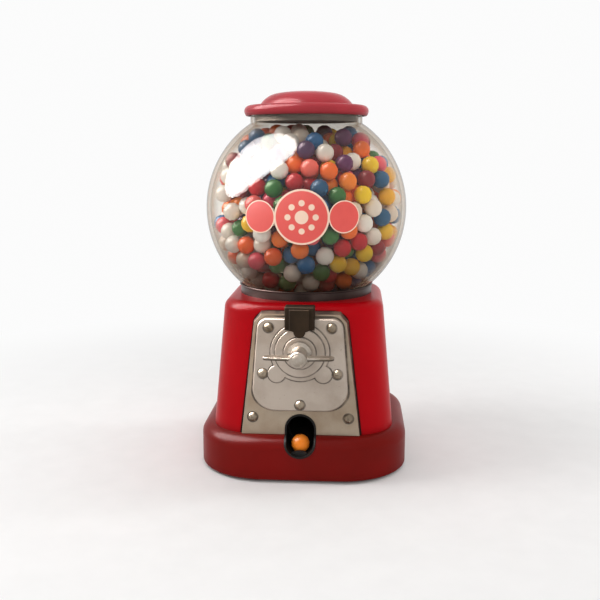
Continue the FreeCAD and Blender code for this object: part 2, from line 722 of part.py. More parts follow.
def front_plate():
    """Pressed pan with a flat face and side flanges that end on the body."""
    back = -body_half_depth(BODY_TOP) + BODY_WALL
    low = PLATE_BOTTOM_Z
    outside = Part.makeLoft([plate_ring(PLATE_Y, 0, low), plate_ring(back, PLATE_FLARE, low)], True, True)
    sheet = PLATE_SHEET
    front_hollow = plate_ring(PLATE_BACK_Y, -sheet, low - PAST)
    back_hollow = plate_ring(back + PAST, PLATE_FLARE - sheet, low - PAST)
    inside = Part.makeLoft([front_hollow, back_hollow], True, True)
    plate = outside.cut([inside, body_form(0, BASE_TOP, BODY_TOP)])
    places = cover_screw_places() + plate_screw_places()
    cuts = [outlet_form(OUTLET_CLEARANCE, PLATE_Y - PAST, PLATE_BACK_Y + PAST)]
    cuts += [screw_hole(x, z, PLATE_Y - PAST, PLATE_BACK_Y + PAST) for x, z in places]
    cuts.append(along_y(BUSH_RADIUS + FIXED_CLEARANCE, 0, SHAFT_Z, PLATE_Y - PAST, PLATE_BACK_Y + PAST))
    return plate.cut(cuts).removeSplitter()


def front_plate_screws():
    """Two screws through the foot of the front plate into the body."""
    screws = [round_screw(x, z, PLATE_Y, PLATE_SCREW_LENGTH, 55) for x, z in plate_screw_places()]
    return Part.makeCompound(screws)


def stepped_disc(radius, face_y, height):
    """Raised round step on the mechanism cover with a softened edge."""
    disc = along_y(radius, 0, SHAFT_Z, face_y - height, face_y)
    return disc.makeFillet(0.6 * height, edges_at_y(disc, face_y - height))


def mechanism_cover():
    """Pressed pan with a rolled edge, an eared pad, a stepped dial round the shaft and the coin's slot."""
    pan = cover_form(0, COVER_Y, PLATE_Y)
    pan = pan.makeFillet(COVER_EDGE_RADIUS, edges_at_y(pan, COVER_Y))
    pan = pan.cut(cover_form(COVER_SHEET, COVER_INSIDE_Y, PLATE_Y + PAST))
    pad_y = COVER_Y - PAD_HEIGHT
    ring_y = pad_y - RING_HEIGHT
    raised = [stepped_disc(PAD_RADIUS, COVER_Y, PAD_HEIGHT)]
    for side in (-1, 1):
        ear = stepped_disc(EAR_RADIUS, COVER_Y, PAD_HEIGHT)
        raised.append(ear.translated(Vec(side * EAR_X, 0, -EAR_DROP)))
    raised.append(stepped_disc(RING_RADIUS, pad_y, RING_HEIGHT))
    raised.append(stepped_disc(DIAL_RADIUS, ring_y, DIAL_HEIGHT))
    pan = pan.fuse(raised)
    shaft_hole = SHAFT_RADIUS + 2 * MOVING_GAP
    cuts = [along_y(shaft_hole, 0, SHAFT_Z, DIAL_Y - PAST, PLATE_Y)]
    coin = COIN_RADIUS + COIN_CLEARANCE
    slot_z = COVER_TOP_Z - 2 * COVER_SHEET
    cuts.append(block(-coin, coin, COVER_INSIDE_Y, PLATE_Y + PAST, slot_z, COVER_TOP_Z + PAST))
    cuts += [screw_hole(x, z, DIAL_Y - PAST, PLATE_Y + PAST) for x, z in cover_screw_places()]
    return pan.cut(cuts).removeSplitter()


def cover_screws():
    """Four long screws through cover, plate and standoffs to the frame, and a short one at the foot."""
    reach = FRAME_BACK_Y + NUT_HEIGHT - COVER_Y
    angles = [20, 75, 130, 10]
    places = cover_screw_places()
    screws = [round_screw(x, z, COVER_Y, reach, turn) for (x, z), turn in zip(places[:4], angles)]
    foot_x, foot_z = places[4]
    screws.append(round_screw(foot_x, foot_z, COVER_Y, COVER_DEPTH + PLATE_SHEET + NUT_HEIGHT, 100))
    return Part.makeCompound(screws)


def hexagon(radius):
    """Corners of a hexagon about the origin."""
    turns = [math.radians(60 * k) for k in range(6)]
    return [(radius * math.cos(t), radius * math.sin(t)) for t in turns]


def nut(x, z, face_y):
    """Hexagon nut seated against face_y from behind."""
    corners = [(x + across, z + up) for across, up in hexagon(NUT_RADIUS)]
    body = slab_y(corners[0], corners[1:], face_y, face_y + NUT_HEIGHT)
    hole = SCREW_SHANK_RADIUS + FIXED_CLEARANCE
    return body.cut(along_y(hole, x, z, face_y - PAST, face_y + NUT_HEIGHT + PAST))


def cover_nuts():
    """Nuts on the five cover screws."""
    places = cover_screw_places()
    nuts = [nut(x, z, FRAME_BACK_Y) for x, z in places[:4]]
    nuts.append(nut(places[4][0], places[4][1], PLATE_BACK_Y))
    return Part.makeCompound(nuts)


def coin_entry():
    """Slotted coin entry on the plate, lapped over the cover, with a nose that runs down into a tongue."""
    top = COVER_TOP_Z + ENTRY_RISE
    lap = COVER_TOP_Z - ENTRY_LAP
    side = lambda y, z: Vec(-ENTRY_HALF, y, z)
    profile = [(PLATE_Y, COVER_TOP_Z), (COVER_Y, COVER_TOP_Z), (COVER_Y, lap), (ENTRY_Y, lap), (ENTRY_Y, top)]
    entry = outline(side, (PLATE_Y, top), profile).extrude(Vec(2 * ENTRY_HALF, 0, 0))
    rim = [e for e in deep_edges(entry) if e.BoundBox.ZMin > top - 1e-3]
    entry = entry.makeFillet(ENTRY_EDGE_RADIUS, rim + edges_at_y(entry, ENTRY_Y))
    n = ENTRY_NOSE_HALF
    t = ENTRY_TIP_HALF
    tip = lap - ENTRY_TONGUE
    bend = tip + t
    crown = top - ENTRY_NOSE_PROUD
    nose_y = ENTRY_Y - ENTRY_NOSE_PROUD
    nose_back = ENTRY_Y + 1.5 * ENTRY_EDGE_RADIUS
    steps = [((0, tip), (t, bend)), (n, lap), (n, crown), (-n, crown), (-n, lap)]
    nose = slab_y((-t, bend), steps, nose_y, nose_back)
    nose = nose.makeFillet(ENTRY_NOSE_PROUD / 2, edges_at_y(nose, nose_y))
    coin = COIN_RADIUS + COIN_CLEARANCE
    slot_y = PLATE_Y - (COVER_DEPTH - COVER_SHEET + COIN_THICKNESS) / 2 - COIN_CLEARANCE
    slot_back = slot_y + COIN_THICKNESS + 2 * COIN_CLEARANCE
    slot = block(-coin, coin, slot_y, slot_back, COVER_TOP_Z - PAST, top + PAST)
    pad_y = COVER_Y - PAD_HEIGHT
    steps = [(PAD_RADIUS, pad_y), (RING_RADIUS, pad_y - RING_HEIGHT)]
    reliefs = [along_y(r + FIXED_CLEARANCE, 0, SHAFT_Z, y - FIXED_CLEARANCE, PLATE_Y) for r, y in steps]
    return entry.fuse(nose).cut([slot] + reliefs).removeSplitter()


def wing_handle():
    """Turned hub with two flat paddle wings and a bore for the shaft."""
    collar_y = HUB_BACK_Y - HUB_COLLAR_LENGTH
    neck_y = collar_y - (HUB_COLLAR_RADIUS - HUB_RADIUS) / 2
    nose_r = HUB_RADIUS - HUB_NOSE
    steps = [
        (HUB_COLLAR_RADIUS, HUB_BACK_Y), (HUB_COLLAR_RADIUS, collar_y), (HUB_RADIUS, neck_y),
        (HUB_RADIUS, HUB_FRONT_Y + HUB_NOSE),
        ((HUB_RADIUS - 0.3 * HUB_NOSE, HUB_FRONT_Y + 0.3 * HUB_NOSE), (nose_r, HUB_FRONT_Y)),
        (0, HUB_FRONT_Y),
    ]
    hub = turned_y(0, SHAFT_Z, (0, HUB_BACK_Y), steps)
    rear = ENTRY_Y - ENTRY_NOSE_PROUD - WING_GAP
    front = rear - WING_ROOT_DEPTH
    middle = (rear + front) / 2
    tip = WING_TIP_DEPTH / 2
    flat = WING_SPAN - tip
    steps = [
        (flat, middle + tip), ((WING_SPAN, middle), (flat, middle - tip)), (0, front),
        (-flat, middle - tip), ((-WING_SPAN, middle), (-flat, middle + tip)),
    ]
    half = WING_THICKNESS / 2
    wings = slab_z((0, rear), steps, SHAFT_Z - half, SHAFT_Z + half)
    rims = edges_at_z(wings, SHAFT_Z + half) + edges_at_z(wings, SHAFT_Z - half)
    wings = wings.makeFillet(0.4 * half, rims)
    bore = along_y(SHAFT_RADIUS + FIXED_CLEARANCE, 0, SHAFT_Z, HUB_FRONT_Y - PAST, HUB_BACK_Y + PAST)
    return hub.fuse(wings).cut(bore).removeSplitter()


def handle_cap():
    """Domed cap on the shaft's front end that holds the handle on."""
    middle_r, middle_h = dome_middle(CAP_RADIUS, CAP_HEIGHT)
    steps = [((middle_r, HUB_FRONT_Y - middle_h), (CAP_RADIUS, HUB_FRONT_Y)), (0, HUB_FRONT_Y)]
    return turned_y(0, SHAFT_Z, (0, HUB_FRONT_Y - CAP_HEIGHT), steps)


def drive_shaft():
    """Plain shaft from the handle to the pinion."""
    return along_y(SHAFT_RADIUS, 0, SHAFT_Z, HUB_FRONT_Y, PINION_BACK_Y)


def polar(radius, degrees):
    """Point (x, z) about the shaft, the angle taken anticlockwise from the right as seen from the front."""
    return (radius * math.cos(math.radians(degrees)), SHAFT_Z + radius * math.sin(math.radians(degrees)))


def coin_wheel():
    """Disc behind the cover with a round seat for one coin at its top."""
    y0 = COVER_INSIDE_Y + COIN_WHEEL_GAP
    y1 = PLATE_Y - COIN_WHEEL_GAP
    wheel = along_y(COIN_WHEEL_RADIUS, 0, SHAFT_Z, y0, y1)
    seat = along_y(COIN_RADIUS + COIN_CLEARANCE, 0, SHAFT_Z + COIN_SEAT_RADIUS, y0 - PAST, y1 + PAST)
    bore = along_y(SHAFT_RADIUS + FIXED_CLEARANCE, 0, SHAFT_Z, y0 - PAST, y1 + PAST)
    return wheel.cut([seat, bore])


def coin_dog():
    """Lever that rides on the coin wheel's rim and stops the wheel when its coin seat is empty."""
    y0 = COVER_INSIDE_Y + COIN_WHEEL_GAP
    y1 = PLATE_Y - COIN_WHEEL_GAP
    pivot = polar(DOG_PIVOT_RADIUS, DOG_PIVOT_ANGLE)
    nose = polar(COIN_WHEEL_RADIUS + DOG_HALF_WIDTH + MOVING_GAP, DOG_ANGLE)
    run = Vec(nose[0] - pivot[0], 0, nose[1] - pivot[1])
    across = Vec(run.z, 0, -run.x).normalize() * DOG_HALF_WIDTH
    steps = [
        (nose[0] + across.x, nose[1] + across.z), (nose[0] - across.x, nose[1] - across.z),
        (pivot[0] - across.x, pivot[1] - across.z),
    ]
    arm = slab_y((pivot[0] + across.x, pivot[1] + across.z), steps, y0, y1)
    boss = along_y(DOG_BOSS_RADIUS, pivot[0], pivot[1], y0, y1)
    roller = along_y(DOG_HALF_WIDTH, nose[0], nose[1], y0, y1)
    bore = along_y(DOG_PIN_RADIUS + RUNNING_CLEARANCE, pivot[0], pivot[1], y0 - PAST, y1 + PAST)
    return arm.fuse([boss, roller]).cut(bore).removeSplitter()


def coin_dog_pin():
    """Pin on the front plate that the coin dog turns on."""
    x, z = polar(DOG_PIVOT_RADIUS, DOG_PIVOT_ANGLE)
    return along_y(DOG_PIN_RADIUS, x, z, COVER_INSIDE_Y, PLATE_Y)


def ratchet_wheel():
    """Saw-toothed wheel: each tooth climbs anticlockwise and ends in a radial face."""
    step = TURN / RATCHET_TEETH
    first = PAWL_ANGLE - math.degrees(MOVING_GAP / RATCHET_ROOT_RADIUS)
    points = []
    for k in range(RATCHET_TEETH):
        points.append(polar(RATCHET_ROOT_RADIUS, first + step * k))
        points.append(polar(RATCHET_TIP_RADIUS, first + step * (k + 1)))
    back = RATCHET_Y + RATCHET_WIDTH
    wheel = slab_y(points[0], points[1:], RATCHET_Y, back)
    bore = along_y(SHAFT_RADIUS + FIXED_CLEARANCE, 0, SHAFT_Z, RATCHET_Y - PAST, back + PAST)
    return wheel.cut(bore)


def pawl_frame():
    """Pawl pivot, with unit vectors along the pawl and outwards from the ratchet."""
    angle = math.radians(PAWL_ANGLE)
    out = Vec(math.cos(angle), 0, math.sin(angle))
    along = Vec(math.sin(angle), 0, -math.cos(angle))
    reach = RATCHET_TIP_RADIUS + MOVING_GAP + PAWL_NOSE
    pivot = Vec(0, 0, SHAFT_Z) + out * reach - along * PAWL_LENGTH
    return pivot, along, out


def pawl_point(u, v):
    """Point (x, z) at u along the pawl and v outwards from it."""
    pivot, along, out = pawl_frame()
    point = pivot + along * u + out * v
    return (point.x, point.z)


def pawl():
    """Lever that drops into the ratchet's teeth; drawn lifted just clear of them."""
    w = PAWL_HALF_WIDTH
    length = PAWL_LENGTH
    back = length - PAWL_NOSE_LENGTH
    corners = [
        (length, w), (length, -PAWL_NOSE), (back, PAWL_NOSE_RAKE - PAWL_NOSE), (back - PAWL_HEEL, -w),
        (0, -w)]
    y1 = RATCHET_Y + RATCHET_WIDTH
    arm = slab_y(pawl_point(0, w), [pawl_point(u, v) for u, v in corners], RATCHET_Y, y1)
    x, z = pawl_point(0, 0)
    boss = along_y(PAWL_BOSS_RADIUS, x, z, RATCHET_Y, y1)
    bore = along_y(PAWL_PIN_RADIUS + RUNNING_CLEARANCE, x, z, RATCHET_Y - PAST, y1 + PAST)
    return arm.fuse(boss).cut(bore).removeSplitter()


def pawl_pin():
    """Pin between plate and frame that the pawl turns on."""
    x, z = pawl_point(0, 0)
    return along_y(PAWL_PIN_RADIUS, x, z, PLATE_BACK_Y, FRAME_Y)


def spring_post():
    """Post between plate and frame that carries the pawl's spring."""
    x, z = pawl_point(SPRING_POST_ALONG, SPRING_POST_OUT)
    return along_y(SPRING_POST_RADIUS, x, z, PLATE_BACK_Y, FRAME_Y)


def pawl_spring():
    """Strip spring wrapped round its post, with a bowed end above the pawl's back."""
    y0 = RATCHET_Y
    y1 = RATCHET_Y + RATCHET_WIDTH
    x, z = pawl_point(SPRING_POST_ALONG, SPRING_POST_OUT)
    inner = SPRING_POST_RADIUS + RUNNING_CLEARANCE
    eye = along_y(inner + SPRING_STRIP, x, z, y0, y1)
    start = SPRING_POST_OUT - inner - SPRING_STRIP
    touch = PAWL_HALF_WIDTH + MOVING_GAP
    reach = SPRING_POST_ALONG / 2
    under = [(reach, touch), (reach - SPRING_TOE, touch + SPRING_TOE_LIFT)]
    over = [(u, v + SPRING_STRIP) for u, v in reversed(under)] + [(SPRING_POST_ALONG, start + SPRING_STRIP)]
    steps = [pawl_point(u, v) for u, v in under + over]
    strip = slab_y(pawl_point(SPRING_POST_ALONG, start), steps, y0, y1)
    return strip.fuse(eye).cut(along_y(inner, x, z, y0 - PAST, y1 + PAST)).removeSplitter()


def flanged_bush(flange_y, y0, y1):
    """Bush that the shaft turns in, from y0 to y1, with a flange that starts at flange_y."""
    bush = along_y(BUSH_RADIUS, 0, SHAFT_Z, y0, y1)
    bush = bush.fuse(along_y(BUSH_FLANGE_RADIUS, 0, SHAFT_Z, flange_y, flange_y + BUSH_FLANGE))
    bore = along_y(SHAFT_RADIUS + RUNNING_CLEARANCE, 0, SHAFT_Z, y0 - PAST, y1 + PAST)
    return bush.cut(bore).removeSplitter()


def front_bush():
    """Bush in the front plate, its flange behind the plate."""
    return flanged_bush(PLATE_BACK_Y, PLATE_Y, PLATE_BACK_Y + BUSH_FLANGE)


def rear_bush():
    """Bush in the frame, its flange in front and a long tail towards the pinion."""
    front = FRAME_Y - BUSH_FLANGE
    return flanged_bush(front, front, FRAME_Y + REAR_BUSH_LENGTH)


def standoffs():
    """Four tubes between the front plate and the frame."""
    tubes = []
    for x, z in standoff_places():
        tube = along_y(STANDOFF_RADIUS, x, z, PLATE_BACK_Y, FRAME_Y)
        tubes.append(tube.cut(screw_hole(x, z, PLATE_BACK_Y - PAST, FRAME_Y + PAST)))
    return Part.makeCompound(tubes)


def mechanism_frame():
    """Upright plate on the standoffs that carries the shaft's rear bush."""
    z0 = SHAFT_Z - FRAME_BELOW_SHAFT
    z1 = SHAFT_Z + FRAME_ABOVE_SHAFT
    plate = block(-FRAME_HALF_WIDTH, FRAME_HALF_WIDTH, FRAME_Y, FRAME_BACK_Y, z0, z1)
    plate = plate.makeFillet(FRAME_CORNER_RADIUS, deep_edges(plate))
    cuts = [screw_hole(x, z, FRAME_Y - PAST, FRAME_BACK_Y + PAST) for x, z in standoff_places()]
    cuts.append(along_y(BUSH_RADIUS + FIXED_CLEARANCE, 0, SHAFT_Z, FRAME_Y - PAST, FRAME_BACK_Y + PAST))
    return plate.cut(cuts)


def involute(base, radius):
    """Polar angle along an involute from its start on the base circle to a radius."""
    pressure = math.acos(min(1.0, base / radius))
    return math.tan(pressure) - pressure


def drive_pinion():
    """Spur pinion with involute flanks and a hub on the shaft."""
    pitch = PINION_PITCH_RADIUS
    base = pitch * math.cos(math.radians(PRESSURE_ANGLE))
    tip = pitch + ADDENDUM
    root = pitch - DEDENDUM
    half = (math.pi * GEAR_MODULE - BACKLASH) / (4 * pitch) + involute(base, pitch)
    spot = lambda r, a: (r * math.sin(a), SHAFT_Z + r * math.cos(a))
    mid = (base + tip) / 2
    step = 2 * math.pi / PINION_TEETH
    steps = []
    for k in range(PINION_TEETH):
        a = k * step
        edge = half - involute(base, tip)
        steps.append(spot(root, a - half))
        steps.append(spot(base, a - half))
        steps.append((spot(mid, a - half + involute(base, mid)), spot(tip, a - edge)))
        steps.append((spot(tip, a), spot(tip, a + edge)))
        steps.append((spot(mid, a + half - involute(base, mid)), spot(base, a + half)))
        steps.append(spot(root, a + half))
        steps.append((spot(root, a + step / 2), spot(root, a + step - half)))
    gear = slab_y(steps[0], steps[1:], PINION_FRONT_Y, PINION_BACK_Y)
    hub = along_y(PINION_HUB_RADIUS, 0, SHAFT_Z, PINION_FRONT_Y - PINION_HUB_LENGTH, PINION_FRONT_Y)
    bore = along_y(SHAFT_RADIUS + FIXED_CLEARANCE, 0, SHAFT_Z, FRAME_Y, PINION_BACK_Y + PAST)
    return gear.fuse(hub).cut(bore).removeSplitter()


def face_tooth():
    """One tooth of the ring under the dispensing wheel, drawn at the front of the wheel."""
    half = (math.pi * GEAR_MODULE - BACKLASH) / 4
    slope = math.tan(math.radians(PRESSURE_ANGLE))
    low = half - ADDENDUM * slope
    high = half + (DEDENDUM + TOOTH_SINK) * slope
    y0 = -WHEEL_PITCH_RADIUS - GEAR_FACE / 2
    top = WHEEL_UNDER_Z + TOOTH_SINK
    return slab_y((-low, TOOTH_TIP_Z), [(low, TOOTH_TIP_Z), (high, top), (-high, top)], y0, y0 + GEAR_FACE)


def pocket_angles():
    """Angles of the wheel's pockets about its axle; the first is over the drop hole."""
    return [DROP_ANGLE + TURN / WHEEL_POCKETS * k for k in range(WHEEL_POCKETS)]


def dispensing_wheel():
    """Thick wheel with six gumball pockets and a ring of teeth on its underside."""
    wheel = along_z(WHEEL_RADIUS, 0, 0, WHEEL_UNDER_Z, WHEEL_TOP_Z)
    pocket = along_z(POCKET_RADIUS, POCKET_CIRCLE, 0, WHEEL_UNDER_Z - PAST, WHEEL_TOP_Z + PAST)
    mouth = Part.makeCone(POCKET_RADIUS, POCKET_RADIUS + 2 * POCKET_CHAMFER, 2 * POCKET_CHAMFER,
                          Vec(POCKET_CIRCLE, 0, WHEEL_TOP_Z - POCKET_CHAMFER), UP)
    cuts = []
    for angle in pocket_angles():
        for cut in (pocket, mouth):
            cuts.append(cut.copy().rotate(Vec(0, 0, 0), UP, angle))
    cuts.append(along_z(AXLE_RADIUS + RUNNING_CLEARANCE, 0, 0, WHEEL_UNDER_Z - PAST, WHEEL_TOP_Z + PAST))
    seat_z = WHEEL_TOP_Z - AGITATOR_SEAT
    cuts.append(along_z(AGITATOR_WIRE + FIXED_CLEARANCE, AGITATOR_FOOT, 0, seat_z, WHEEL_TOP_Z + PAST))
    wheel = wheel.cut(cuts)
    tooth = face_tooth()
    step = TURN / WHEEL_TEETH
    teeth = [tooth.copy().rotate(Vec(0, 0, 0), UP, step * (k + 0.5)) for k in range(WHEEL_TEETH)]
    return wheel.fuse(teeth).removeSplitter()


def wheel_axle():
    """Shouldered post through the hopper floor that the dispensing wheel turns on."""
    stud_end = FLOOR_UNDER_Z - HOPPER_BOSS_HEIGHT - NUT_HEIGHT - AXLE_STUD_TAIL
    cap_z = WHEEL_TOP_Z + MOVING_GAP
    middle_r, middle_h = dome_middle(AXLE_HEAD_RADIUS, AXLE_HEAD_HEIGHT)
    steps = [
        (AXLE_STUD_RADIUS, stud_end), (AXLE_STUD_RADIUS, FLOOR_TOP_Z), (AXLE_RADIUS, FLOOR_TOP_Z),
        (AXLE_RADIUS, cap_z), (AXLE_HEAD_RADIUS, cap_z),
        ((middle_r, cap_z + middle_h), (0, cap_z + AXLE_HEAD_HEIGHT)),
    ]
    return turned_z((0, stud_end), steps)


def axle_nut():
    """Hexagon nut under the hopper's boss."""
    top = FLOOR_UNDER_Z - HOPPER_BOSS_HEIGHT
    ring = hexagon(AXLE_STUD_RADIUS + AXLE_NUT_MARGIN)
    body = slab_z(ring[0], ring[1:], top - NUT_HEIGHT, top)
    return body.cut(along_z(AXLE_STUD_RADIUS + FIXED_CLEARANCE, 0, 0, top - NUT_HEIGHT - PAST, top + PAST))


def agitator():
    """Bent wire on the wheel that stirs the gumballs above it."""
    foot_z = WHEEL_TOP_Z - AGITATOR_SEAT
    bend = AGITATOR_FOOT / 2
    turn_z = WHEEL_TOP_Z + AGITATOR_HEIGHT - bend
    start = Vec(AGITATOR_FOOT, 0, foot_z)
    corner = Vec(AGITATOR_FOOT, 0, turn_z)
    crown = Vec(AGITATOR_FOOT - bend, 0, turn_z + bend)
    end = Vec(AGITATOR_FOOT - 2 * bend, 0, turn_z)
    tail = Vec(AGITATOR_FOOT - 2 * bend, 0, turn_z - bend)
    path = Part.Wire([
        Part.makeLine(start, corner), Part.Arc(corner, crown, end).toShape(), Part.makeLine(end, tail)])
    ring = Part.Wire(Part.makeCircle(AGITATOR_WIRE, start, UP))
    return path.makePipeShell([ring], True, False)


def hopper_screw_places():
    """Centres of the screws through the hopper's flange."""
    step = TURN / HOPPER_SCREWS
    turns = [math.radians(step * (k + 0.5)) for k in range(HOPPER_SCREWS)]
    return [(HOPPER_SCREW_CIRCLE * math.cos(t), HOPPER_SCREW_CIRCLE * math.sin(t)) for t in turns]


def funnel_radius(z):
    """Inside radius of the hopper's funnel at a height."""
    share = (z - WHEEL_TOP_Z) / (FLANGE_TOP_Z - WHEEL_TOP_Z)
    return WELL_RADIUS + (HOPPER_MOUTH_RADIUS - WELL_RADIUS) * share


def hopper():
    """Cast hopper: flange, funnel, wheel well with a tooth groove, axle boss, drop hole and pinion window."""
    groove_r = WHEEL_PITCH_RADIUS - GEAR_FACE / 2 - 2 * MOVING_GAP
    outer = WELL_RADIUS + HOPPER_WALL
    stud = AXLE_STUD_RADIUS + FIXED_CLEARANCE
    boss_z = FLOOR_UNDER_Z - HOPPER_BOSS_HEIGHT
    steps = [
        (groove_r, FLOOR_TOP_Z), (groove_r, GROOVE_Z), (WELL_RADIUS, GROOVE_Z), (WELL_RADIUS, WHEEL_TOP_Z),
        (HOPPER_MOUTH_RADIUS, FLANGE_TOP_Z), (HOPPER_FLANGE_RADIUS, FLANGE_TOP_Z),
        (HOPPER_FLANGE_RADIUS, BODY_TOP), (HOPPER_NECK_RADIUS, BODY_TOP),
        (HOPPER_NECK_RADIUS, BODY_TOP - BODY_WALL), (outer, WHEEL_TOP_Z - HOPPER_WALL),
        (outer, FLOOR_UNDER_Z), (HOPPER_BOSS_RADIUS, FLOOR_UNDER_Z), (HOPPER_BOSS_RADIUS, boss_z),
        (stud, boss_z),
    ]
    casting = turned_z((stud, FLOOR_TOP_Z), steps)
    half = PINION_PITCH_RADIUS + ADDENDUM + PINION_WINDOW_GAP
    window = block(-half, half, -outer - PAST, -groove_r, SHAFT_Z - half, FLOOR_TOP_Z + 2 * MOVING_GAP)
    cuts = [window, along_z(DROP_HOLE_RADIUS, DROP_X, DROP_Y, FLOOR_UNDER_Z - PAST, FLOOR_TOP_Z + PAST)]
    hole = SCREW_SHANK_RADIUS + SCREW_CLEARANCE
    cuts += [along_z(hole, x, y, BODY_TOP - PAST, FLANGE_TOP_Z + PAST) for x, y in hopper_screw_places()]
    return casting.cut(cuts).removeSplitter()


def hopper_screws():
    """Flush screws through the hopper's flange into the body's top."""
    low = BODY_TOP - BODY_WALL - HOPPER_SCREW_TAIL
    screws = [along_z(SCREW_SHANK_RADIUS, x, y, low, FLANGE_TOP_Z) for x, y in hopper_screw_places()]
    return Part.makeCompound(screws)


def pocket_guard():
    """Sheet over the pocket at the drop hole, with a tab up the funnel's wall."""
    top = GUARD_Z + GUARD_SHEET
    edge = funnel_radius(GUARD_Z) - FIXED_CLEARANCE
    steps = [(edge, GUARD_Z), (edge, top), (GUARD_INNER, top)]
    plate = turned_z((GUARD_INNER, GUARD_Z), steps, GUARD_SPAN)
    plate.rotate(Vec(0, 0, 0), UP, DROP_ANGLE - GUARD_SPAN / 2)
    tab_top = top + GUARD_TAB_HEIGHT
    lean = funnel_radius(tab_top) - funnel_radius(GUARD_Z)
    inner = edge - GUARD_SHEET
    steps = [(edge + lean, tab_top), (inner + lean, tab_top), (inner, GUARD_Z)]
    tab = turned_z((edge, GUARD_Z), steps, GUARD_TAB_SPAN)
    tab.rotate(Vec(0, 0, 0), UP, DROP_ANGLE - GUARD_TAB_SPAN / 2)
    return plate.fuse(tab).removeSplitter()


def chute_path(extra):
    """Route from the drop hole straight down, round a bend and down a slope to the outlet."""
    slope = math.radians(CHUTE_SLOPE)
    end = Vec(0, OUTLET_BACK_Y, OUTLET_BOTTOM_Z + OUTLET_WALL + CHUTE_RADIUS / math.cos(slope))
    top = Vec(DROP_X, DROP_Y, FLOOR_UNDER_Z)
    flat = Vec(end.x - top.x, end.y - top.y, 0)
    ahead = Vec(flat).normalize()
    turn = math.pi / 2 - slope
    bend_out = CHUTE_BEND_RADIUS * (1 - math.cos(turn))
    bend_down = CHUTE_BEND_RADIUS * math.sin(turn)
    run = flat.Length - bend_out
    run_top = end - ahead * run + UP * (run * math.tan(slope))
    bend_top = run_top - ahead * bend_out + UP * bend_down
    half_out = CHUTE_BEND_RADIUS * (1 - math.cos(turn / 2))
    half_down = CHUTE_BEND_RADIUS * math.sin(turn / 2)
    bend_mid = bend_top + ahead * half_out - UP * half_down
    past = end + (ahead * math.cos(slope) - UP * math.sin(slope)) * extra
    lift = UP * (extra / 20)
    return Part.Wire([
        Part.makeLine(top + lift, bend_top), Part.Arc(bend_top, bend_mid, run_top).toShape(),
        Part.makeLine(run_top, past)]), top + lift


def chute_bar(radius):
    """Round bar along the chute's route, running on past the outlet's end."""
    path, start = chute_path(CHUTE_BEND_RADIUS)
    return path.makePipeShell([Part.Wire(Part.makeCircle(radius, start, UP))], True, False)


def delivery_chute():
    """Bent tube from the drop hole to the outlet, with a flange under the hopper."""
    under = FLOOR_UNDER_Z - CHUTE_FLANGE
    flange = along_z(CHUTE_FLANGE_RADIUS, DROP_X, DROP_Y, under, FLOOR_UNDER_Z)
    flange = flange.cut(along_z(HOPPER_BOSS_RADIUS + MOVING_GAP, 0, 0, under - PAST, FLOOR_UNDER_Z + PAST))
    tube = chute_bar(CHUTE_RADIUS).fuse(flange).cut(chute_bar(CHUTE_RADIUS - CHUTE_WALL))
    reach = BASE_WIDTH
    front = block(-reach, reach, -reach, OUTLET_BACK_Y + OUTLET_CLEARANCE, 0, SHAFT_Z)
    above = block(-reach, reach, -reach, reach, FLOOR_UNDER_Z, BODY_TOP)
    return tube.cut([front, above]).removeSplitter()


def outlet_sleeve():
    """Oval sleeve through plate and base with a rim that follows both and a lip that holds the gumball."""
    front = -BASE_WIDTH / 2 - OUTLET_RIM
    hollow = outlet_form(-OUTLET_WALL, front - PAST, OUTLET_BACK_Y + PAST)
    sleeve = outlet_form(0, front, OUTLET_BACK_Y).cut(hollow)
    lip_y = -BASE_WIDTH / 2 + LIP_SETBACK
    lip_top = OUTLET_BOTTOM_Z + OUTLET_WALL + LIP_HEIGHT
    lip = along_y(LIP_CURVE_RADIUS, 0, lip_top - LIP_CURVE_RADIUS, lip_y, lip_y + LIP_THICKNESS)
    sleeve = sleeve.fuse(lip.common(outlet_form(-OUTLET_WALL / 2, front, OUTLET_BACK_Y)))
    rim_y = PLATE_Y - OUTLET_RIM
    bend = BASE_SHOULDER_RADIUS + OUTLET_RIM
    bend_y = -BASE_WIDTH / 2 + BASE_SHOULDER_RADIUS
    bend_z = BASE_TOP - BASE_SHOULDER_RADIUS
    meet = math.acos(max(0.0, min(1.0, (bend_y - rim_y) / bend)))
    round_bend = lambda turn: (bend_y - bend * math.cos(turn), bend_z + bend * math.sin(turn))
    meet_y, meet_z = round_bend(meet)
    side = lambda y, z: Vec(-OUTLET_WIDTH, y, z)
    steps = [
        (rim_y, meet_z), (meet_y, meet_z), (round_bend(meet / 2), round_bend(0)),
        (bend_y - bend, 0), (-BASE_WIDTH, 0), (-BASE_WIDTH, BODY_TOP)]
    outside = outline(side, (rim_y, BODY_TOP), steps).extrude(Vec(2 * OUTLET_WIDTH, 0, 0))
    return sleeve.cut(outside).removeSplitter()


def vended_centre():
    """Centre of the gumball that lies in the outlet behind its lip."""
    floor = OUTLET_BOTTOM_Z + OUTLET_WALL
    z = floor + GUMBALL_RADIUS + VENDED_GAP
    lip_back = -BASE_WIDTH / 2 + LIP_SETBACK + LIP_THICKNESS
    drop = max(0.0, z - floor - LIP_HEIGHT)
    away = math.sqrt(max(1.0, GUMBALL_RADIUS ** 2 - drop ** 2))
    return Vec(0, lip_back + away + VENDED_SETBACK, z)


def vended_gumball():
    """The gumball waiting in the outlet."""
    return Part.makeSphere(GUMBALL_RADIUS, vended_centre())


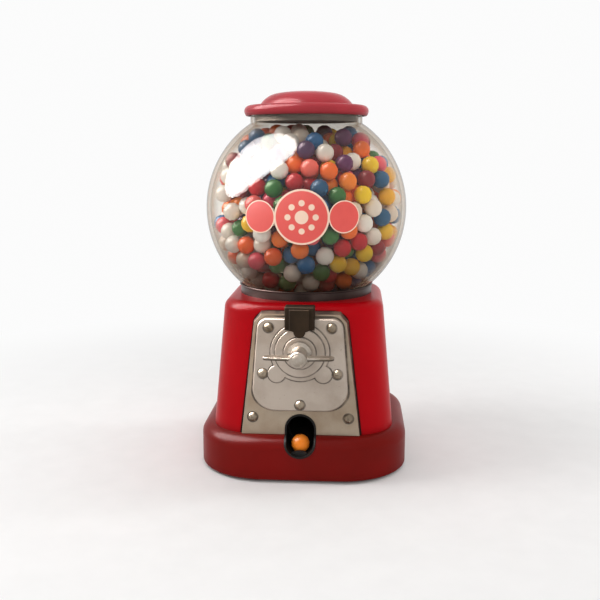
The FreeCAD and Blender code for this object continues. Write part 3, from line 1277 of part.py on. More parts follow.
def pocket_gumballs():
    """Gumballs riding in the wheel's pockets, all but the one over the drop hole."""
    z = FLOOR_TOP_Z + GUMBALL_RADIUS + MOVING_GAP
    balls = []
    for angle in pocket_angles()[1:]:
        turn = math.radians(angle)
        centre = Vec(POCKET_CIRCLE * math.cos(turn), POCKET_CIRCLE * math.sin(turn), z)
        balls.append(Part.makeSphere(GUMBALL_RADIUS, centre))
    return Part.makeCompound(balls)


def globe():
    """Blown glass globe with a straight foot and a straight neck."""
    inner = GLASS_INNER_RADIUS
    neck_in_z = GLOBE_Z + math.sqrt(inner ** 2 - NECK_INNER_RADIUS ** 2)
    foot_in_z = GLOBE_Z - math.sqrt(inner ** 2 - FOOT_INNER_RADIUS ** 2)
    steps = [
        (GLOBE_FOOT_RADIUS, FOOT_JOIN_Z), ((GLOBE_RADIUS, GLOBE_Z), (GLOBE_NECK_RADIUS, NECK_JOIN_Z)),
        (GLOBE_NECK_RADIUS, NECK_TOP_Z), (NECK_INNER_RADIUS, NECK_TOP_Z), (NECK_INNER_RADIUS, neck_in_z),
        ((inner, GLOBE_Z), (FOOT_INNER_RADIUS, foot_in_z)), (FOOT_INNER_RADIUS, GLOBE_FOOT_Z),
    ]
    return turned_z((GLOBE_FOOT_RADIUS, GLOBE_FOOT_Z), steps)


def washer(inner, outer, z0, z1):
    """Flat ring about the machine's upright axis."""
    return turned_z((inner, z0), [(outer, z0), (outer, z1), (inner, z1)])


def globe_gasket():
    """Rubber ring between the hopper's flange and the globe's foot."""
    return washer(FOOT_INNER_RADIUS - GASKET_LAP, GLOBE_FOOT_RADIUS, FLANGE_TOP_Z, GLOBE_FOOT_Z)


def globe_ring():
    """Dark collar round the globe's foot with a rolled top edge."""
    top = FOOT_JOIN_Z + RING_HEIGHT_ABOVE_FOOT
    outer = RING_INNER_RADIUS + RING_WALL
    lip = math.sqrt(GLOBE_RADIUS ** 2 - (GLOBE_Z - top) ** 2) + RING_FIT
    roll = RING_WALL / 2
    steps = [
        (outer, BODY_TOP), (outer, FOOT_JOIN_Z),
        ((outer + roll, (FOOT_JOIN_Z + top) / 2), (lip + RING_EDGE, top)),
        (lip, top), (RING_INNER_RADIUS, FOOT_JOIN_Z)]
    return turned_z((RING_INNER_RADIUS, BODY_TOP), steps)


def lid_dome(sink):
    """Steps of the lid's dome from its middle to its brim, sunk square to its face, and its first point."""
    fall = 2 * math.atan(LID_CROWN_DROP / LID_CROWN_HALF)
    top = BRIM_TOP_Z + LID_DOME_RISE - sink
    crown_half = LID_CROWN_HALF - sink * math.sin(fall)
    crown_drop = LID_CROWN_DROP - sink * (1 - math.cos(fall))
    crown_r, crown_h = dome_middle(crown_half, crown_drop)
    crown_end = (crown_half, top - crown_drop)
    edge = (LID_DOME_HALF - sink / 2, BRIM_TOP_Z - sink)
    steps = [
        ((crown_r, crown_end[1] + crown_h), crown_end), (tangent_middle(crown_end, fall, edge), edge)]
    return (0, top), steps


def lid():
    """Pressed lid: a flat crown, a rounded shoulder and a brim turned down over the globe's neck."""
    s = LID_SHEET
    slant = math.sqrt(0.5)
    r = LID_RADIUS
    turn = LID_BRIM_TURN
    edge_z = BRIM_TOP_Z - turn
    bow_z = (edge_z + LID_BOTTOM_Z) / 2
    fall_z = BRIM_TOP_Z - LID_BRIM_FALL
    tuck = r - LID_BRIM_TUCK
    start, outer_steps = lid_dome(0)
    inner_top, inner_steps = lid_dome(s)
    outer_bend = (1 - slant) * turn
    outer_bend_z = fall_z - (turn - LID_BRIM_FALL) * (1 - slant)
    inner_bend = (1 - slant) * (turn - s)
    inner_bend_z = fall_z - s - (turn - s - LID_BRIM_FALL) * (1 - slant)
    steps = outer_steps + [
        (r - turn, fall_z), ((r - outer_bend, outer_bend_z), (r, edge_z)),
        ((r - LID_BRIM_BOW, bow_z), (tuck, LID_BOTTOM_Z)), (tuck - s, LID_BOTTOM_Z),
        ((r - LID_BRIM_BOW - s, bow_z), (r - s, edge_z)),
        ((r - s - inner_bend, inner_bend_z), (r - turn, fall_z - s)), inner_steps[1][1],
        (inner_steps[1][0], inner_steps[0][1]), (inner_steps[0][0], inner_top),
    ]
    return turned_z(start, steps)


def lid_plug():
    """Ring under the lid that drops into the globe's neck."""
    outer = NECK_INNER_RADIUS - PLUG_FIT
    inner = outer - PLUG_SHEET
    slope = LID_BRIM_FALL / (LID_RADIUS - LID_BRIM_TURN - LID_DOME_HALF)
    top = BRIM_TOP_Z - LID_SHEET - slope * (outer - LID_DOME_HALF + LID_SHEET) - FIXED_CLEARANCE
    flange = outer + PLUG_FLANGE
    flange_top = PLUG_SEAT_Z + PLUG_SHEET
    steps = [
        (outer, PLUG_BOTTOM_Z), (outer, PLUG_SEAT_Z), (flange, PLUG_SEAT_Z), (flange, flange_top),
        (outer, flange_top), (outer, top), (inner, top)]
    return turned_z((inner, PLUG_BOTTOM_Z), steps)


def lid_gasket():
    """Rubber ring under the plug's flange that lands on the globe's neck."""
    return washer(NECK_INNER_RADIUS - PLUG_FIT / 2, GLOBE_NECK_RADIUS, LID_SEAL_Z, PLUG_SEAT_Z)


BALL_KEEP = GUMBALL_RADIUS + GUMBALL_GAP / 2
BALL_PITCH = GUMBALL_DIAMETER + GUMBALL_GAP
GLOBE_REACH = GLASS_INNER_RADIUS - BALL_KEEP
FOOT_REACH = FOOT_INNER_RADIUS - GASKET_LAP - BALL_KEEP
CROSS_Z = GLOBE_Z - math.sqrt(GLOBE_REACH ** 2 - FOOT_REACH ** 2)
HEAP_BOTTOM_Z = GUARD_Z + GUARD_SHEET + BALL_KEEP
HEAP_TOP_Z = PLUG_BOTTOM_Z - BALL_KEEP
STIR_REACH = AGITATOR_FOOT + AGITATOR_WIRE + BALL_KEEP
STIR_TOP_Z = WHEEL_TOP_Z + AGITATOR_HEIGHT + AGITATOR_WIRE + BALL_KEEP


def heap_reach(z):
    """Greatest distance of a gumball's centre from the axis at a height."""
    if z >= CROSS_Z:
        return math.sqrt(max(0.0, GLOBE_REACH ** 2 - (z - GLOBE_Z) ** 2))
    lean = (HOPPER_MOUTH_RADIUS - WELL_RADIUS) / (FLANGE_TOP_Z - WHEEL_TOP_Z)
    wall = funnel_radius(min(z, FLANGE_TOP_Z)) - GUARD_SHEET - BALL_KEEP * math.sqrt(1 + lean ** 2)
    return min(FOOT_REACH, wall) if z < FLANGE_TOP_Z + BALL_KEEP else FOOT_REACH


def heap_count():
    """Number of gumballs that fills the space their centres can lie in."""
    layers = 200
    step = (HEAP_TOP_Z - HEAP_BOTTOM_Z) / layers
    room = 0.0
    for k in range(layers):
        z = HEAP_BOTTOM_Z + (k + 0.5) * step
        hollow = STIR_REACH if z < STIR_TOP_Z else 0.0
        room += math.pi * max(0.0, heap_reach(z) ** 2 - hollow ** 2) * step
    return int(GUMBALL_FILL * room * math.sqrt(2) / BALL_PITCH ** 3)


def keep_inside(ball):
    """Push a gumball's centre back from the glass, the funnel, the wheel and the agitator's path."""
    x, y, z = ball
    z = min(max(z, HEAP_BOTTOM_Z), HEAP_TOP_Z)
    out = max(math.hypot(x, y), 1e-6)
    least = STIR_REACH if z < STIR_TOP_Z else 0.0
    if z >= CROSS_Z:
        span = math.sqrt(out ** 2 + (z - GLOBE_Z) ** 2)
        if span > GLOBE_REACH:
            draw = GLOBE_REACH / span
            x, y, z = x * draw, y * draw, GLOBE_Z + (z - GLOBE_Z) * draw
            out = math.hypot(x, y)
        most = out
    else:
        most = heap_reach(z)
    fit = max(least, min(out, most)) / max(out, 1e-6)
    ball[0], ball[1], ball[2] = x * fit, y * fit, z


def push_apart(balls):
    """Move overlapping gumballs apart once; returns the deepest overlap that was met."""
    cells = {}
    for ball in balls:
        cells.setdefault(tuple(int(c // BALL_PITCH) for c in ball), []).append(ball)
    ahead = [(i, j, k) for i in (-1, 0, 1) for j in (-1, 0, 1) for k in (-1, 0, 1) if (i, j, k) > (0, 0, 0)]
    deepest = 0.0
    for (i, j, k), here in cells.items():
        near = [ball for a, b, c in ahead for ball in cells.get((i + a, j + b, k + c), ())]
        for n, one in enumerate(here):
            for two in here[n + 1:] + near:
                gap = [one[0] - two[0], one[1] - two[1], one[2] - two[2]]
                square = gap[0] * gap[0] + gap[1] * gap[1] + gap[2] * gap[2]
                if square < BALL_PITCH * BALL_PITCH:
                    apart = max(math.sqrt(square), 1e-6)
                    deepest = max(deepest, BALL_PITCH - apart)
                    share = 0.52 * (BALL_PITCH - apart) / apart
                    for c in range(3):
                        one[c] += gap[c] * share
                        two[c] -= gap[c] * share
    return deepest


def gumball_heap():
    """Centres of the gumballs: scattered through the globe, then settled until none overlap."""
    chance = random.Random(GUMBALL_SEED)
    count = heap_count()
    balls = []
    while len(balls) < count:
        x = chance.uniform(-GLOBE_REACH, GLOBE_REACH)
        y = chance.uniform(-GLOBE_REACH, GLOBE_REACH)
        z = chance.uniform(HEAP_BOTTOM_Z, HEAP_TOP_Z)
        hollow = STIR_REACH if z < STIR_TOP_Z else 0.0
        if hollow < math.hypot(x, y) < heap_reach(z):
            balls.append([x, y, z])
    for done in range(SETTLING_PASSES):
        sink = SETTLING_SINK * max(0.0, 1 - 2.0 * done / SETTLING_PASSES)
        deepest = push_apart(balls)
        for ball in balls:
            ball[2] -= sink
            keep_inside(ball)
        if sink == 0 and deepest < 0.6 * GUMBALL_GAP:
            break
    print("gumballs", count, "passes", done + 1, "deepest", round(deepest, 3), "of a gap of", GUMBALL_GAP)
    return balls


def gumball_groups():
    """The heap's gumballs dealt out from the bottom, each to the colour that is furthest behind its share."""
    groups = {name: [] for name in GUMBALL_COLOURS}
    for ball in sorted(gumball_heap(), key=lambda place: place[2]):
        dealt = sum(len(group) for group in groups.values()) + 1
        behind = lambda name: GUMBALL_COLOURS[name] * dealt - len(groups[name])
        groups[max(groups, key=behind)].append(Part.makeSphere(GUMBALL_RADIUS, Vec(*ball)))
    return {name: Part.makeCompound(group) for name, group in groups.items()}


PIECES = [
    base_casting, base_plate, base_plate_screws, rubber_feet, stand_grommet, body_shell, body_screws,
    front_plate, front_plate_screws, mechanism_cover, cover_screws, cover_nuts, coin_entry,
    wing_handle, handle_cap, drive_shaft, coin_wheel, coin_dog, coin_dog_pin, ratchet_wheel,
    pawl, pawl_pin, pawl_spring, spring_post, front_bush, rear_bush, standoffs, mechanism_frame,
    drive_pinion, dispensing_wheel, wheel_axle, axle_nut, agitator, hopper, hopper_screws, pocket_guard,
    delivery_chute, outlet_sleeve, vended_gumball, pocket_gumballs,
    globe, globe_gasket, globe_ring, lid, lid_plug, lid_gasket,
]

for piece in PIECES:
    save(piece.__name__, piece())
for colour, heap in gumball_groups().items():
    save("gumballs_" + colour, heap)
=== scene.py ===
# %% [markdown]
# # A penny gumball machine
# The machine was built as exact solids: a base, a tapered body, a coin mechanism behind two nickel plates,
# a glass globe full of gumballs and a lid. This lesson loads those solids as they stand and gives every one
# the finish that it has on a shop counter. Only what is too fine or too plentiful for the solids is made
# here: the heap of gumballs, each with a shade of its own, and the transfers on the glass.

import json
import math

import bpy
import numpy as np
from mathutils import Euler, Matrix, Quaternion, Vector


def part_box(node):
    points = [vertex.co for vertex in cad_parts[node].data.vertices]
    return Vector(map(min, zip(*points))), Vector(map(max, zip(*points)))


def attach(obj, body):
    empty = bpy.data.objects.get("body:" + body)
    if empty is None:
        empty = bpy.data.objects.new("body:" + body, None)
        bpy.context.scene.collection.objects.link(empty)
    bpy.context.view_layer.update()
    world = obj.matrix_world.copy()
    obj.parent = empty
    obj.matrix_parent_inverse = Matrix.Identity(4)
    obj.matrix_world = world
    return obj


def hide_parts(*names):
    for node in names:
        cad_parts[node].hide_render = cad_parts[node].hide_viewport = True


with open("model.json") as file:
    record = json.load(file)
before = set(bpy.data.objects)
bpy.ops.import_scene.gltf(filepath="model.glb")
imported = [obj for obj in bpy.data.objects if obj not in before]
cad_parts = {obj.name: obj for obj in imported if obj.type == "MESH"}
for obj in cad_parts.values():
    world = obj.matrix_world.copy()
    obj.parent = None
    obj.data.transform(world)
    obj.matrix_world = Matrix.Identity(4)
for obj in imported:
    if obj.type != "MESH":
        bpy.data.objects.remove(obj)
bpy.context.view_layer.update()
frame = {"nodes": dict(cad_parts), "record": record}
nodes = frame["nodes"]


# %% [markdown]
# ## Writing shaders as sums
# A finish is easier to read as arithmetic than as a drawing of boxes. A small class stands for one output
# of a node, and adding or multiplying two of them puts the Math node in place. Everything that is not
# arithmetic goes through one method that takes the kind of node, its settings and what its sockets receive.

# %% The socket class
class Wire:
    """One output of a node. Arithmetic on it adds Math nodes to the same material."""

    def __init__(self, finish, socket):
        self.finish = finish
        self.socket = socket

    def math(self, operation, other=0.0):
        """A Math node with this output as its first number."""
        return self.finish.node("ShaderNodeMath", {"operation": operation}, {0: self, 1: other})

    def __add__(self, other):
        return self.math("ADD", other)

    def __sub__(self, other):
        return self.math("SUBTRACT", other)

    def __rsub__(self, other):
        return self.finish.node("ShaderNodeMath", {"operation": "SUBTRACT"}, {0: other, 1: self})

    def __mul__(self, other):
        return self.math("MULTIPLY", other)

    def __abs__(self):
        return self.math("ABSOLUTE")

    __radd__ = __add__
    __rmul__ = __mul__


print("a wire can be added, subtracted, multiplied and made positive")


# %% [markdown]
# The second class is the sheet that those nodes are put on. Besides the one general method it has a short
# name for each node that nearly every finish needs: a place on the machine, a cloudy noise, a smooth step,
# a blend of two colours and a dented skin. Lengths are in metres throughout, so a pattern keeps its real
# size on any piece.

# %% The finish class
class Finish:
    """A node tree that is filled by expressions, on a material or on the world."""

    def __init__(self, owner):
        owner.use_nodes = True
        self.tree = owner.node_tree
        self.tree.nodes.clear()

    def node(self, kind, settings=None, sockets=None, output=0):
        """Add a node, set its settings, then feed its sockets by name or number; gives one of its outputs."""
        made = self.tree.nodes.new(kind)
        for setting, value in (settings or {}).items():
            setattr(made, setting, value)
        for socket, value in (sockets or {}).items():
            if isinstance(value, Wire):
                self.tree.links.new(value.socket, made.inputs[socket])
            else:
                made.inputs[socket].default_value = value
        return Wire(self, made.outputs[output]) if made.outputs else made

    def place(self):
        """Where a point is on the machine, in metres."""
        return self.node("ShaderNodeTexCoord", output="Object")

    def parts(self, vector):
        """The three numbers of a vector."""
        return [self.node("ShaderNodeSeparateXYZ", {}, {0: vector}, axis) for axis in range(3)]

    def arm(self, across, height):
        """The flat vector with these two parts."""
        return self.node("ShaderNodeCombineXYZ", {}, {0: across, 1: height, 2: 0.0})

    def length(self, vector):
        """How long a vector is."""
        return self.node("ShaderNodeVectorMath", {"operation": "LENGTH"}, {0: vector}, 1)

    def stretch(self, vector, scale):
        """A pattern's coordinates, stretched along the axes."""
        return self.node("ShaderNodeMapping", {}, {"Vector": vector, "Scale": scale})

    def noise(self, vector, per_metre, detail=3.0, roughness=0.55):
        """Cloudy noise from 0 to 1 with so many swells to the metre."""
        sockets = {"Vector": vector, "Scale": per_metre, "Detail": detail, "Roughness": roughness}
        return self.node("ShaderNodeTexNoise", {}, sockets)

    def rise(self, value, start, end):
        """Smooth step from 0 at start to 1 at end."""
        sockets = {"Value": value, "From Min": start, "From Max": end, "To Min": 0.0, "To Max": 1.0}
        return self.node("ShaderNodeMapRange", {"interpolation_type": "SMOOTHSTEP"}, sockets)

    def blend(self, factor, colour, other):
        """One colour passing into another."""
        return self.node("ShaderNodeMix", {"data_type": "RGBA"}, {0: factor, 6: colour, 7: other}, 2)

    def dents(self, height, depth, strength):
        """Surface normal for a height from 0 to 1 that stands for a depth in metres."""
        return self.node("ShaderNodeBump", {}, {"Height": height, "Distance": depth, "Strength": strength})

    def mix(self, factor, shader, other):
        """One shader passing into another."""
        return self.node("ShaderNodeMixShader", {}, {0: factor, 1: shader, 2: other})

    def show(self, shader):
        """Send a shader to the material's output."""
        self.node("ShaderNodeOutputMaterial", {}, {"Surface": shader})

    def surface(self, **sockets):
        """Send a Principled shader to the output; a socket's name is written with underscores."""
        named = {socket.replace("_", " "): value for socket, value in sockets.items()}
        self.show(self.node("ShaderNodeBsdfPrincipled", {}, named))


def material(name):
    """A new material and the finish that fills it."""
    made = bpy.data.materials.new(name)
    return made, Finish(made)


print("finish has", len([name for name in vars(Finish) if not name.startswith("_")]), "methods")


# %% [markdown]
# Colours are written as the three numbers from 0 to 255 that a picture shows. Shaders count in linear
# light, so each number goes through the screen's curve first.

# %% Colours
WHITE = (1.0, 1.0, 1.0, 1.0)


def paint(red, green, blue):
    """Linear colour of three numbers from 0 to 255 read off a picture."""
    shares = np.array([red, green, blue]) / 255.0
    linear = np.where(shares <= 0.04045, shares / 12.92, ((shares + 0.055) / 1.055) ** 2.4)
    return (*linear.tolist(), 1.0)


def darker(colour, share):
    """A colour with this share of its light."""
    return (*(share * part for part in colour[:3]), 1.0)


print("mid grey 128 is", round(paint(128, 128, 128)[0], 3), "in linear light")

# %% [markdown]
# ## The camera
# The machine is seen from a standing child's height: a little above the globe's middle, a little to its
# right, looking slightly down. The plain perspective of a lens close to 50 mm does the rest, so the frame
# needs no shift.

# %% Camera
PICTURE = 600
LENS_PIXELS = 816.0
SENSOR = 36.0
CAMERA_PLACE = Vector((0.040, -0.664, 0.2475))
CAMERA_DOWN = 10.3
AXIS_PIXEL = 306.3

aside = math.degrees(math.atan2(CAMERA_PLACE.x, -CAMERA_PLACE.y))
aside += math.degrees(math.atan2(AXIS_PIXEL - PICTURE / 2, LENS_PIXELS))
camera_data = bpy.data.cameras.new("camera")
camera_data.sensor_width = SENSOR
camera_data.lens = SENSOR * LENS_PIXELS / PICTURE
camera = bpy.data.objects.new("camera", camera_data)
camera.location = CAMERA_PLACE
camera.rotation_euler = Euler((math.radians(90 - CAMERA_DOWN), 0, math.radians(aside)))
bpy.context.scene.collection.objects.link(camera)
bpy.context.scene.camera = camera
print("lens", round(camera_data.lens, 2), "mm, turned", round(aside, 2), "degrees to the left")

# %% [markdown]
# ## Surfaces from arrays
# New pieces are grids of points worked out by numpy. One helper turns a grid into a mesh: neighbouring rows
# and columns of points make the four corners of each face, and a grid that runs round closes on its first
# column.

# %% Grid to mesh
def grid_faces(rows, columns, closed=False):
    """Corner numbers of the faces between neighbouring points of a grid, row by row."""
    last = columns if closed else columns - 1
    row, column = np.meshgrid(np.arange(rows - 1), np.arange(last), indexing="ij")
    after = (column + 1) % columns
    here = row * columns
    above = here + columns
    return np.stack([here + column, here + after, above + after, above + column], axis=-1).reshape(-1, 4)


def place_mesh(name, mesh, skin):
    """An object at the origin that shows a mesh, smoothly shaded, under one material."""
    mesh.polygons.foreach_set("use_smooth", np.ones(len(mesh.polygons), dtype=bool))
    mesh.materials.append(skin)
    made = bpy.data.objects.new(name, mesh)
    bpy.context.scene.collection.objects.link(made)
    return made


def mesh_object(name, points, faces, skin):
    """An object from an array of points and an array of four-cornered faces."""
    mesh = bpy.data.meshes.new(name)
    mesh.vertices.add(len(points))
    mesh.vertices.foreach_set("co", points.astype(np.float32).ravel())
    mesh.loops.add(faces.size)
    mesh.loops.foreach_set("vertex_index", faces.astype(np.int32).ravel())
    mesh.polygons.add(len(faces))
    mesh.polygons.foreach_set("loop_start", np.arange(0, faces.size, 4, dtype=np.int32))
    mesh.update(calc_edges=True)
    return place_mesh(name, mesh, skin)


print("a grid of 3 by 3 points has", len(grid_faces(3, 3)), "faces")


# %% [markdown]
# The other way round, some finishes need to know where the solids are. A solid's mesh gives its points in
# the order in which its surfaces were made, so the points of one ball or one screw follow each other, and a
# long jump between two points is where the next one starts.

# %% Mesh to arrays
def rows_of(collection, field):
    """An array of rows of three numbers read from a mesh."""
    numbers = np.zeros(len(collection) * 3, dtype=np.float32)
    collection.foreach_get(field, numbers)
    return numbers.reshape(-1, 3)


def runs(rows, jump):
    """An array cut into the runs whose neighbouring rows are nearer to each other than a jump."""
    breaks = np.flatnonzero(np.linalg.norm(np.diff(rows, axis=0), axis=1) > jump) + 1
    return np.split(rows, breaks)


print("rows 0, 1 and 9 make", len(runs(np.array([[0.0], [1.0], [9.0]]), 2.0)), "runs")

# %% [markdown]
# ## The room
# The machine stands in a white room. What the eye, the nickel and the glass see of the room is white, while
# the light that falls on the machine from all around stays at a plain level, so that no colour washes out.

# %% Room
ROOM_LIGHT = 0.46
ROOM_WHITE = 0.97
SEEN_RAYS = ("Is Camera Ray", "Is Glossy Ray", "Is Transmission Ray")


def seen_directly(finish):
    """1 for what the camera, a mirror or a pane sees, 0 for light that only falls on something."""
    camera_ray, mirror_ray, pane_ray = (finish.node("ShaderNodeLightPath", output=ray) for ray in SEEN_RAYS)
    return finish.rise(camera_ray + mirror_ray + pane_ray, 0.0, 1.0)


world = bpy.data.worlds.new("white_room")
bpy.context.scene.world = world
room = Finish(world)
brightness = ROOM_LIGHT + (ROOM_WHITE - ROOM_LIGHT) * seen_directly(room)
air = room.node("ShaderNodeBackground", {}, {"Color": WHITE, "Strength": brightness})
room.node("ShaderNodeOutputWorld", {}, {"Surface": air})
print("room light", ROOM_LIGHT, "seen as", ROOM_WHITE)

# %% [markdown]
# ## The table
# Near the machine the table is an ordinary painted surface that takes its shadow. Further off it passes
# into plain white, so that no horizon shows.

# %% Floor
FLOOR_REACH = 6.0
FLOOR_LINES = 9
FLOOR_NEAR = 0.15
FLOOR_FAR = 0.60
FLOOR_TONES = (paint(232, 231, 230), paint(240, 239, 238))
FLOOR_GRAIN_PER_METRE = 40.0

floor_paint, finish = material("floor_paint")
spot = finish.place()
flat = finish.node("ShaderNodeVectorMath", {"operation": "MULTIPLY"}, {0: spot, 1: (1.0, 1.0, 0.0)})
tone = finish.blend(finish.noise(spot, FLOOR_GRAIN_PER_METRE), *FLOOR_TONES)
lit = finish.node("ShaderNodeBsdfDiffuse", {}, {"Color": tone})
white = finish.node("ShaderNodeEmission", {}, {"Color": WHITE, "Strength": ROOM_WHITE})
fade = finish.rise(finish.length(flat), FLOOR_NEAR, FLOOR_FAR) * seen_directly(finish)
finish.show(finish.mix(fade, lit, white))

reach = np.linspace(-FLOOR_REACH, FLOOR_REACH, FLOOR_LINES)
across, along = np.meshgrid(reach, reach)
floor_points = np.stack([across, along, np.zeros_like(across)], axis=-1).reshape(-1, 3)
floor = mesh_object("studio_floor", floor_points, grid_faces(FLOOR_LINES, FLOOR_LINES), floor_paint)
print("floor", len(floor.data.polygons), "faces")

# %% [markdown]
# ## Lamps
# Four soft oval sheets of light stand round the machine, the strongest in front and a narrower one to the
# left like a window. They only light the machine and stay out of mirrors. The fifth lamp does the opposite:
# it lights nothing and is only seen in mirrors, where it gives the globe the long white shine of a tall
# window.

# %% Lamps
LAMP_AIM = Vector((0.0, 0.0, 0.17))
PANE_TINT = (1.0, 0.94, 0.93)


def lamp(name, place, size, watts, roll=0.0, tint=(1.0, 1.0, 1.0), mirrored=False):
    """An oval sheet of light that faces the machine; a mirrored one shows in mirrors and lights nothing."""
    light = bpy.data.lights.new(name, "AREA")
    light.shape = "ELLIPSE"
    light.size, light.size_y = size
    light.energy = watts
    light.color = tint
    shade = bpy.data.objects.new(name, light)
    shade.location = place
    aim = (LAMP_AIM - Vector(place)).to_track_quat("-Z", "Y")
    shade.rotation_euler = (aim @ Quaternion((0.0, 0.0, 1.0), math.radians(roll))).to_euler()
    shade.visible_glossy = mirrored
    shade.visible_diffuse = not mirrored
    bpy.context.scene.collection.objects.link(shade)
    return shade


lamps = [
    lamp("window_left", (-0.62, -0.16, 0.66), (0.36, 0.80), 3.4),
    lamp("sheet_front", (0.35, -1.30, 0.75), (0.90, 0.60), 5.2),
    lamp("sheet_right", (0.95, 0.25, 0.55), (0.25, 0.90), 3.2),
    lamp("sheet_top", (0.10, 0.20, 1.10), (0.70, 0.50), 2.4),
    lamp("pane_left", (-0.61, -0.10, 0.79), (0.76, 1.35), 86.0, roll=-26.0, tint=PANE_TINT, mirrored=True),
]
print("lamps", [shade.name for shade in lamps])

# %% [markdown]
# ## How near a plate's edge is
# A dark line of painted shade lies where one sheet stands on another. The plates are tapered and have round
# corners, and their outlines are simple enough to be worked out in the shader: the distance to an outline
# is below 0 inside it and above 0 outside, so a narrow band above 0 is where the painted shade goes. A plate
# is given by the heights of its foot and its top, and by its half width and its corner radius at both.

# %% Distances to outlines
PLATE_OUTLINE = {
    "low": 0.0352, "high": 0.1285,
    "half_low": 0.0449, "half_high": 0.0337,
    "round_low": 0.0004, "round_high": 0.0085,
}
COVER_OUTLINE = {
    "low": 0.0554, "high": 0.1263,
    "half_low": 0.0372, "half_high": 0.0314,
    "round_low": 0.0170, "round_high": 0.0080,
}


def circle_gap(finish, across, height, centre, radius):
    """Distance of a point on a plate from a circle about a centre, less than 0 inside the circle."""
    return finish.length(finish.arm(across - centre[0], height - centre[1])) - radius


def tapered_gap(finish, across, height, plate):
    """Distance from a plate's outline; half width and corner radius change evenly from foot to top."""
    tall = plate["high"] - plate["low"]
    share = (height - plate["low"]) * (1.0 / tall)
    corner = plate["round_low"] + (plate["round_high"] - plate["round_low"]) * share
    half = plate["half_low"] + (plate["half_high"] - plate["half_low"]) * share
    beside = abs(across) - half + corner
    beyond = abs(height - 0.5 * (plate["low"] + plate["high"])) - 0.5 * tall + corner
    outside = finish.length(finish.arm(beside.math("MAXIMUM", 0.0), beyond.math("MAXIMUM", 0.0)))
    inside = beside.math("MAXIMUM", beyond).math("MINIMUM", 0.0)
    return outside + inside - corner


print("plate", round(PLATE_OUTLINE["high"] - PLATE_OUTLINE["low"], 4), "m high,",
      "cover", round(COVER_OUTLINE["high"] - COVER_OUTLINE["low"], 4), "m high")

# %% [markdown]
# ## Enamel
# The base, the body and the lid are cast and pressed metal under baked red enamel. Enamel is never quite
# even: it has a faint orange-peel skin and its tone drifts over a hand's breadth. At the foot of each
# casting, in the corner where it stands on the next, dust dulls it and painted shade darkens it. Heights on
# the machine say where that corner is. Round the front plate a dark line of painted shade lies on the body.

# %% Enamel finish
DRIFT_PER_METRE = 14.0
DUST_AND_SHADE_PER_METRE = 120.0
SCUFF_PER_METRE = 260.0
SCUFF_STRETCH = (1.0, 1.0, 3.0)
SCUFF_STEP = (0.66, 0.78)
PEEL_PER_METRE = 750.0
PEEL_DEPTH = 0.00012
# Painted shade along the front plate's outline on the body: its width, the front it keeps to, its colour.
PLATE_SHADE_STEP = (0.0013, 0.0024)
FRONT_STEP = (-0.050, -0.030)
PLATE_SHADE_TONE = paint(26, 10, 9)


def enamel(name, colour, deep, dust_and_shade_step, rough, plate):
    """Baked enamel: two tones, an orange-peel skin, dust and painted shade that fade upwards, a painted shade
    line round any plate.
    """
    made, finish = material(name)
    spot = finish.place()
    across, depth, height = finish.parts(spot)
    drift = finish.noise(spot, DRIFT_PER_METRE)
    # Dust and painted shade at the casting's foot: rougher and darker there, fading upwards.
    dust_and_shade = (1.0 - finish.rise(height, *dust_and_shade_step)) * (0.55 + 0.45 * finish.noise(spot, DUST_AND_SHADE_PER_METRE))
    scratches = finish.noise(finish.stretch(spot, SCUFF_STRETCH), SCUFF_PER_METRE, 6.0, 0.7)
    scuff = finish.rise(scratches, *SCUFF_STEP)
    tone = finish.blend(finish.rise(drift, 0.3, 0.7), paint(*colour), paint(*deep))
    # Painted shade: the tone darkens towards the casting's foot.
    tone = finish.blend(0.5 * dust_and_shade, tone, darker(paint(*deep), 0.35))
    if plate:
        # Painted shade: a dark line along the front plate's outline, where the gap lies in shadow.
        plate_shade_line = 1.0 - finish.rise(tapered_gap(finish, across, height, plate), *PLATE_SHADE_STEP)
        tone = finish.blend(plate_shade_line * (1.0 - finish.rise(depth, *FRONT_STEP)), tone, PLATE_SHADE_TONE)
    finish.surface(
        Base_Color=tone, Roughness=rough + 0.10 * drift + 0.16 * scuff + 0.2 * dust_and_shade, Specular_IOR_Level=0.045,
        Normal=finish.dents(finish.noise(spot, PEEL_PER_METRE, 1.5), PEEL_DEPTH, 0.35),
        Coat_Weight=0.025 - 0.02 * dust_and_shade, Coat_Roughness=0.08)
    return made


base_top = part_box("base_casting")[1].z
lid_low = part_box("lid")[0].z
ENAMELS = {
    "base_enamel": ((122, 18, 15), (106, 18, 13), (-0.004, 0.012), 0.28, None),
    "body_enamel": ((178, 5, 17), (166, 5, 16), (base_top, base_top + 0.006), 0.24, PLATE_OUTLINE),
    "lid_enamel": ((180, 60, 68), (156, 54, 60), (lid_low, lid_low + 0.003), 0.20, None),
}
enamels = {name: enamel(name, *recipe) for name, recipe in ENAMELS.items()}
print("enamels", list(enamels))

# %% [markdown]
# ## Metals
# Every metal of the machine has been rubbed for decades, so fine brush lines run along its height, its
# brightness wanders and dark spots of tarnish stand in it. One recipe serves them all, with a colour, the
# colour of its tarnish, a roughness and a share of metal for each.

# %% Rubbed metal
BRUSH_LINES = (2600.0, 900.0, 60.0)
BRUSH_DEPTH = 0.00003
CLOUD_PER_METRE = 34.0
SPOTS_PER_METRE = 420.0
METALS = {
    "screw_nickel": ((154, 141, 124), (108, 95, 78), 0.20, 0.92),
    "entry_bronze": ((50, 38, 26), (32, 23, 14), 0.36, 0.84),
    "ring_bronze": ((68, 54, 50), (48, 39, 36), 0.22, 0.80),
    "steel": ((176, 178, 180), (140, 140, 140), 0.28, 0.95),
    "plug_steel": ((138, 131, 122), (108, 102, 95), 0.34, 0.85),
    "brass": ((212, 176, 104), (166, 130, 70), 0.24, 0.95),
    "cast_zinc": ((150, 150, 148), (120, 119, 116), 0.46, 0.80),
}


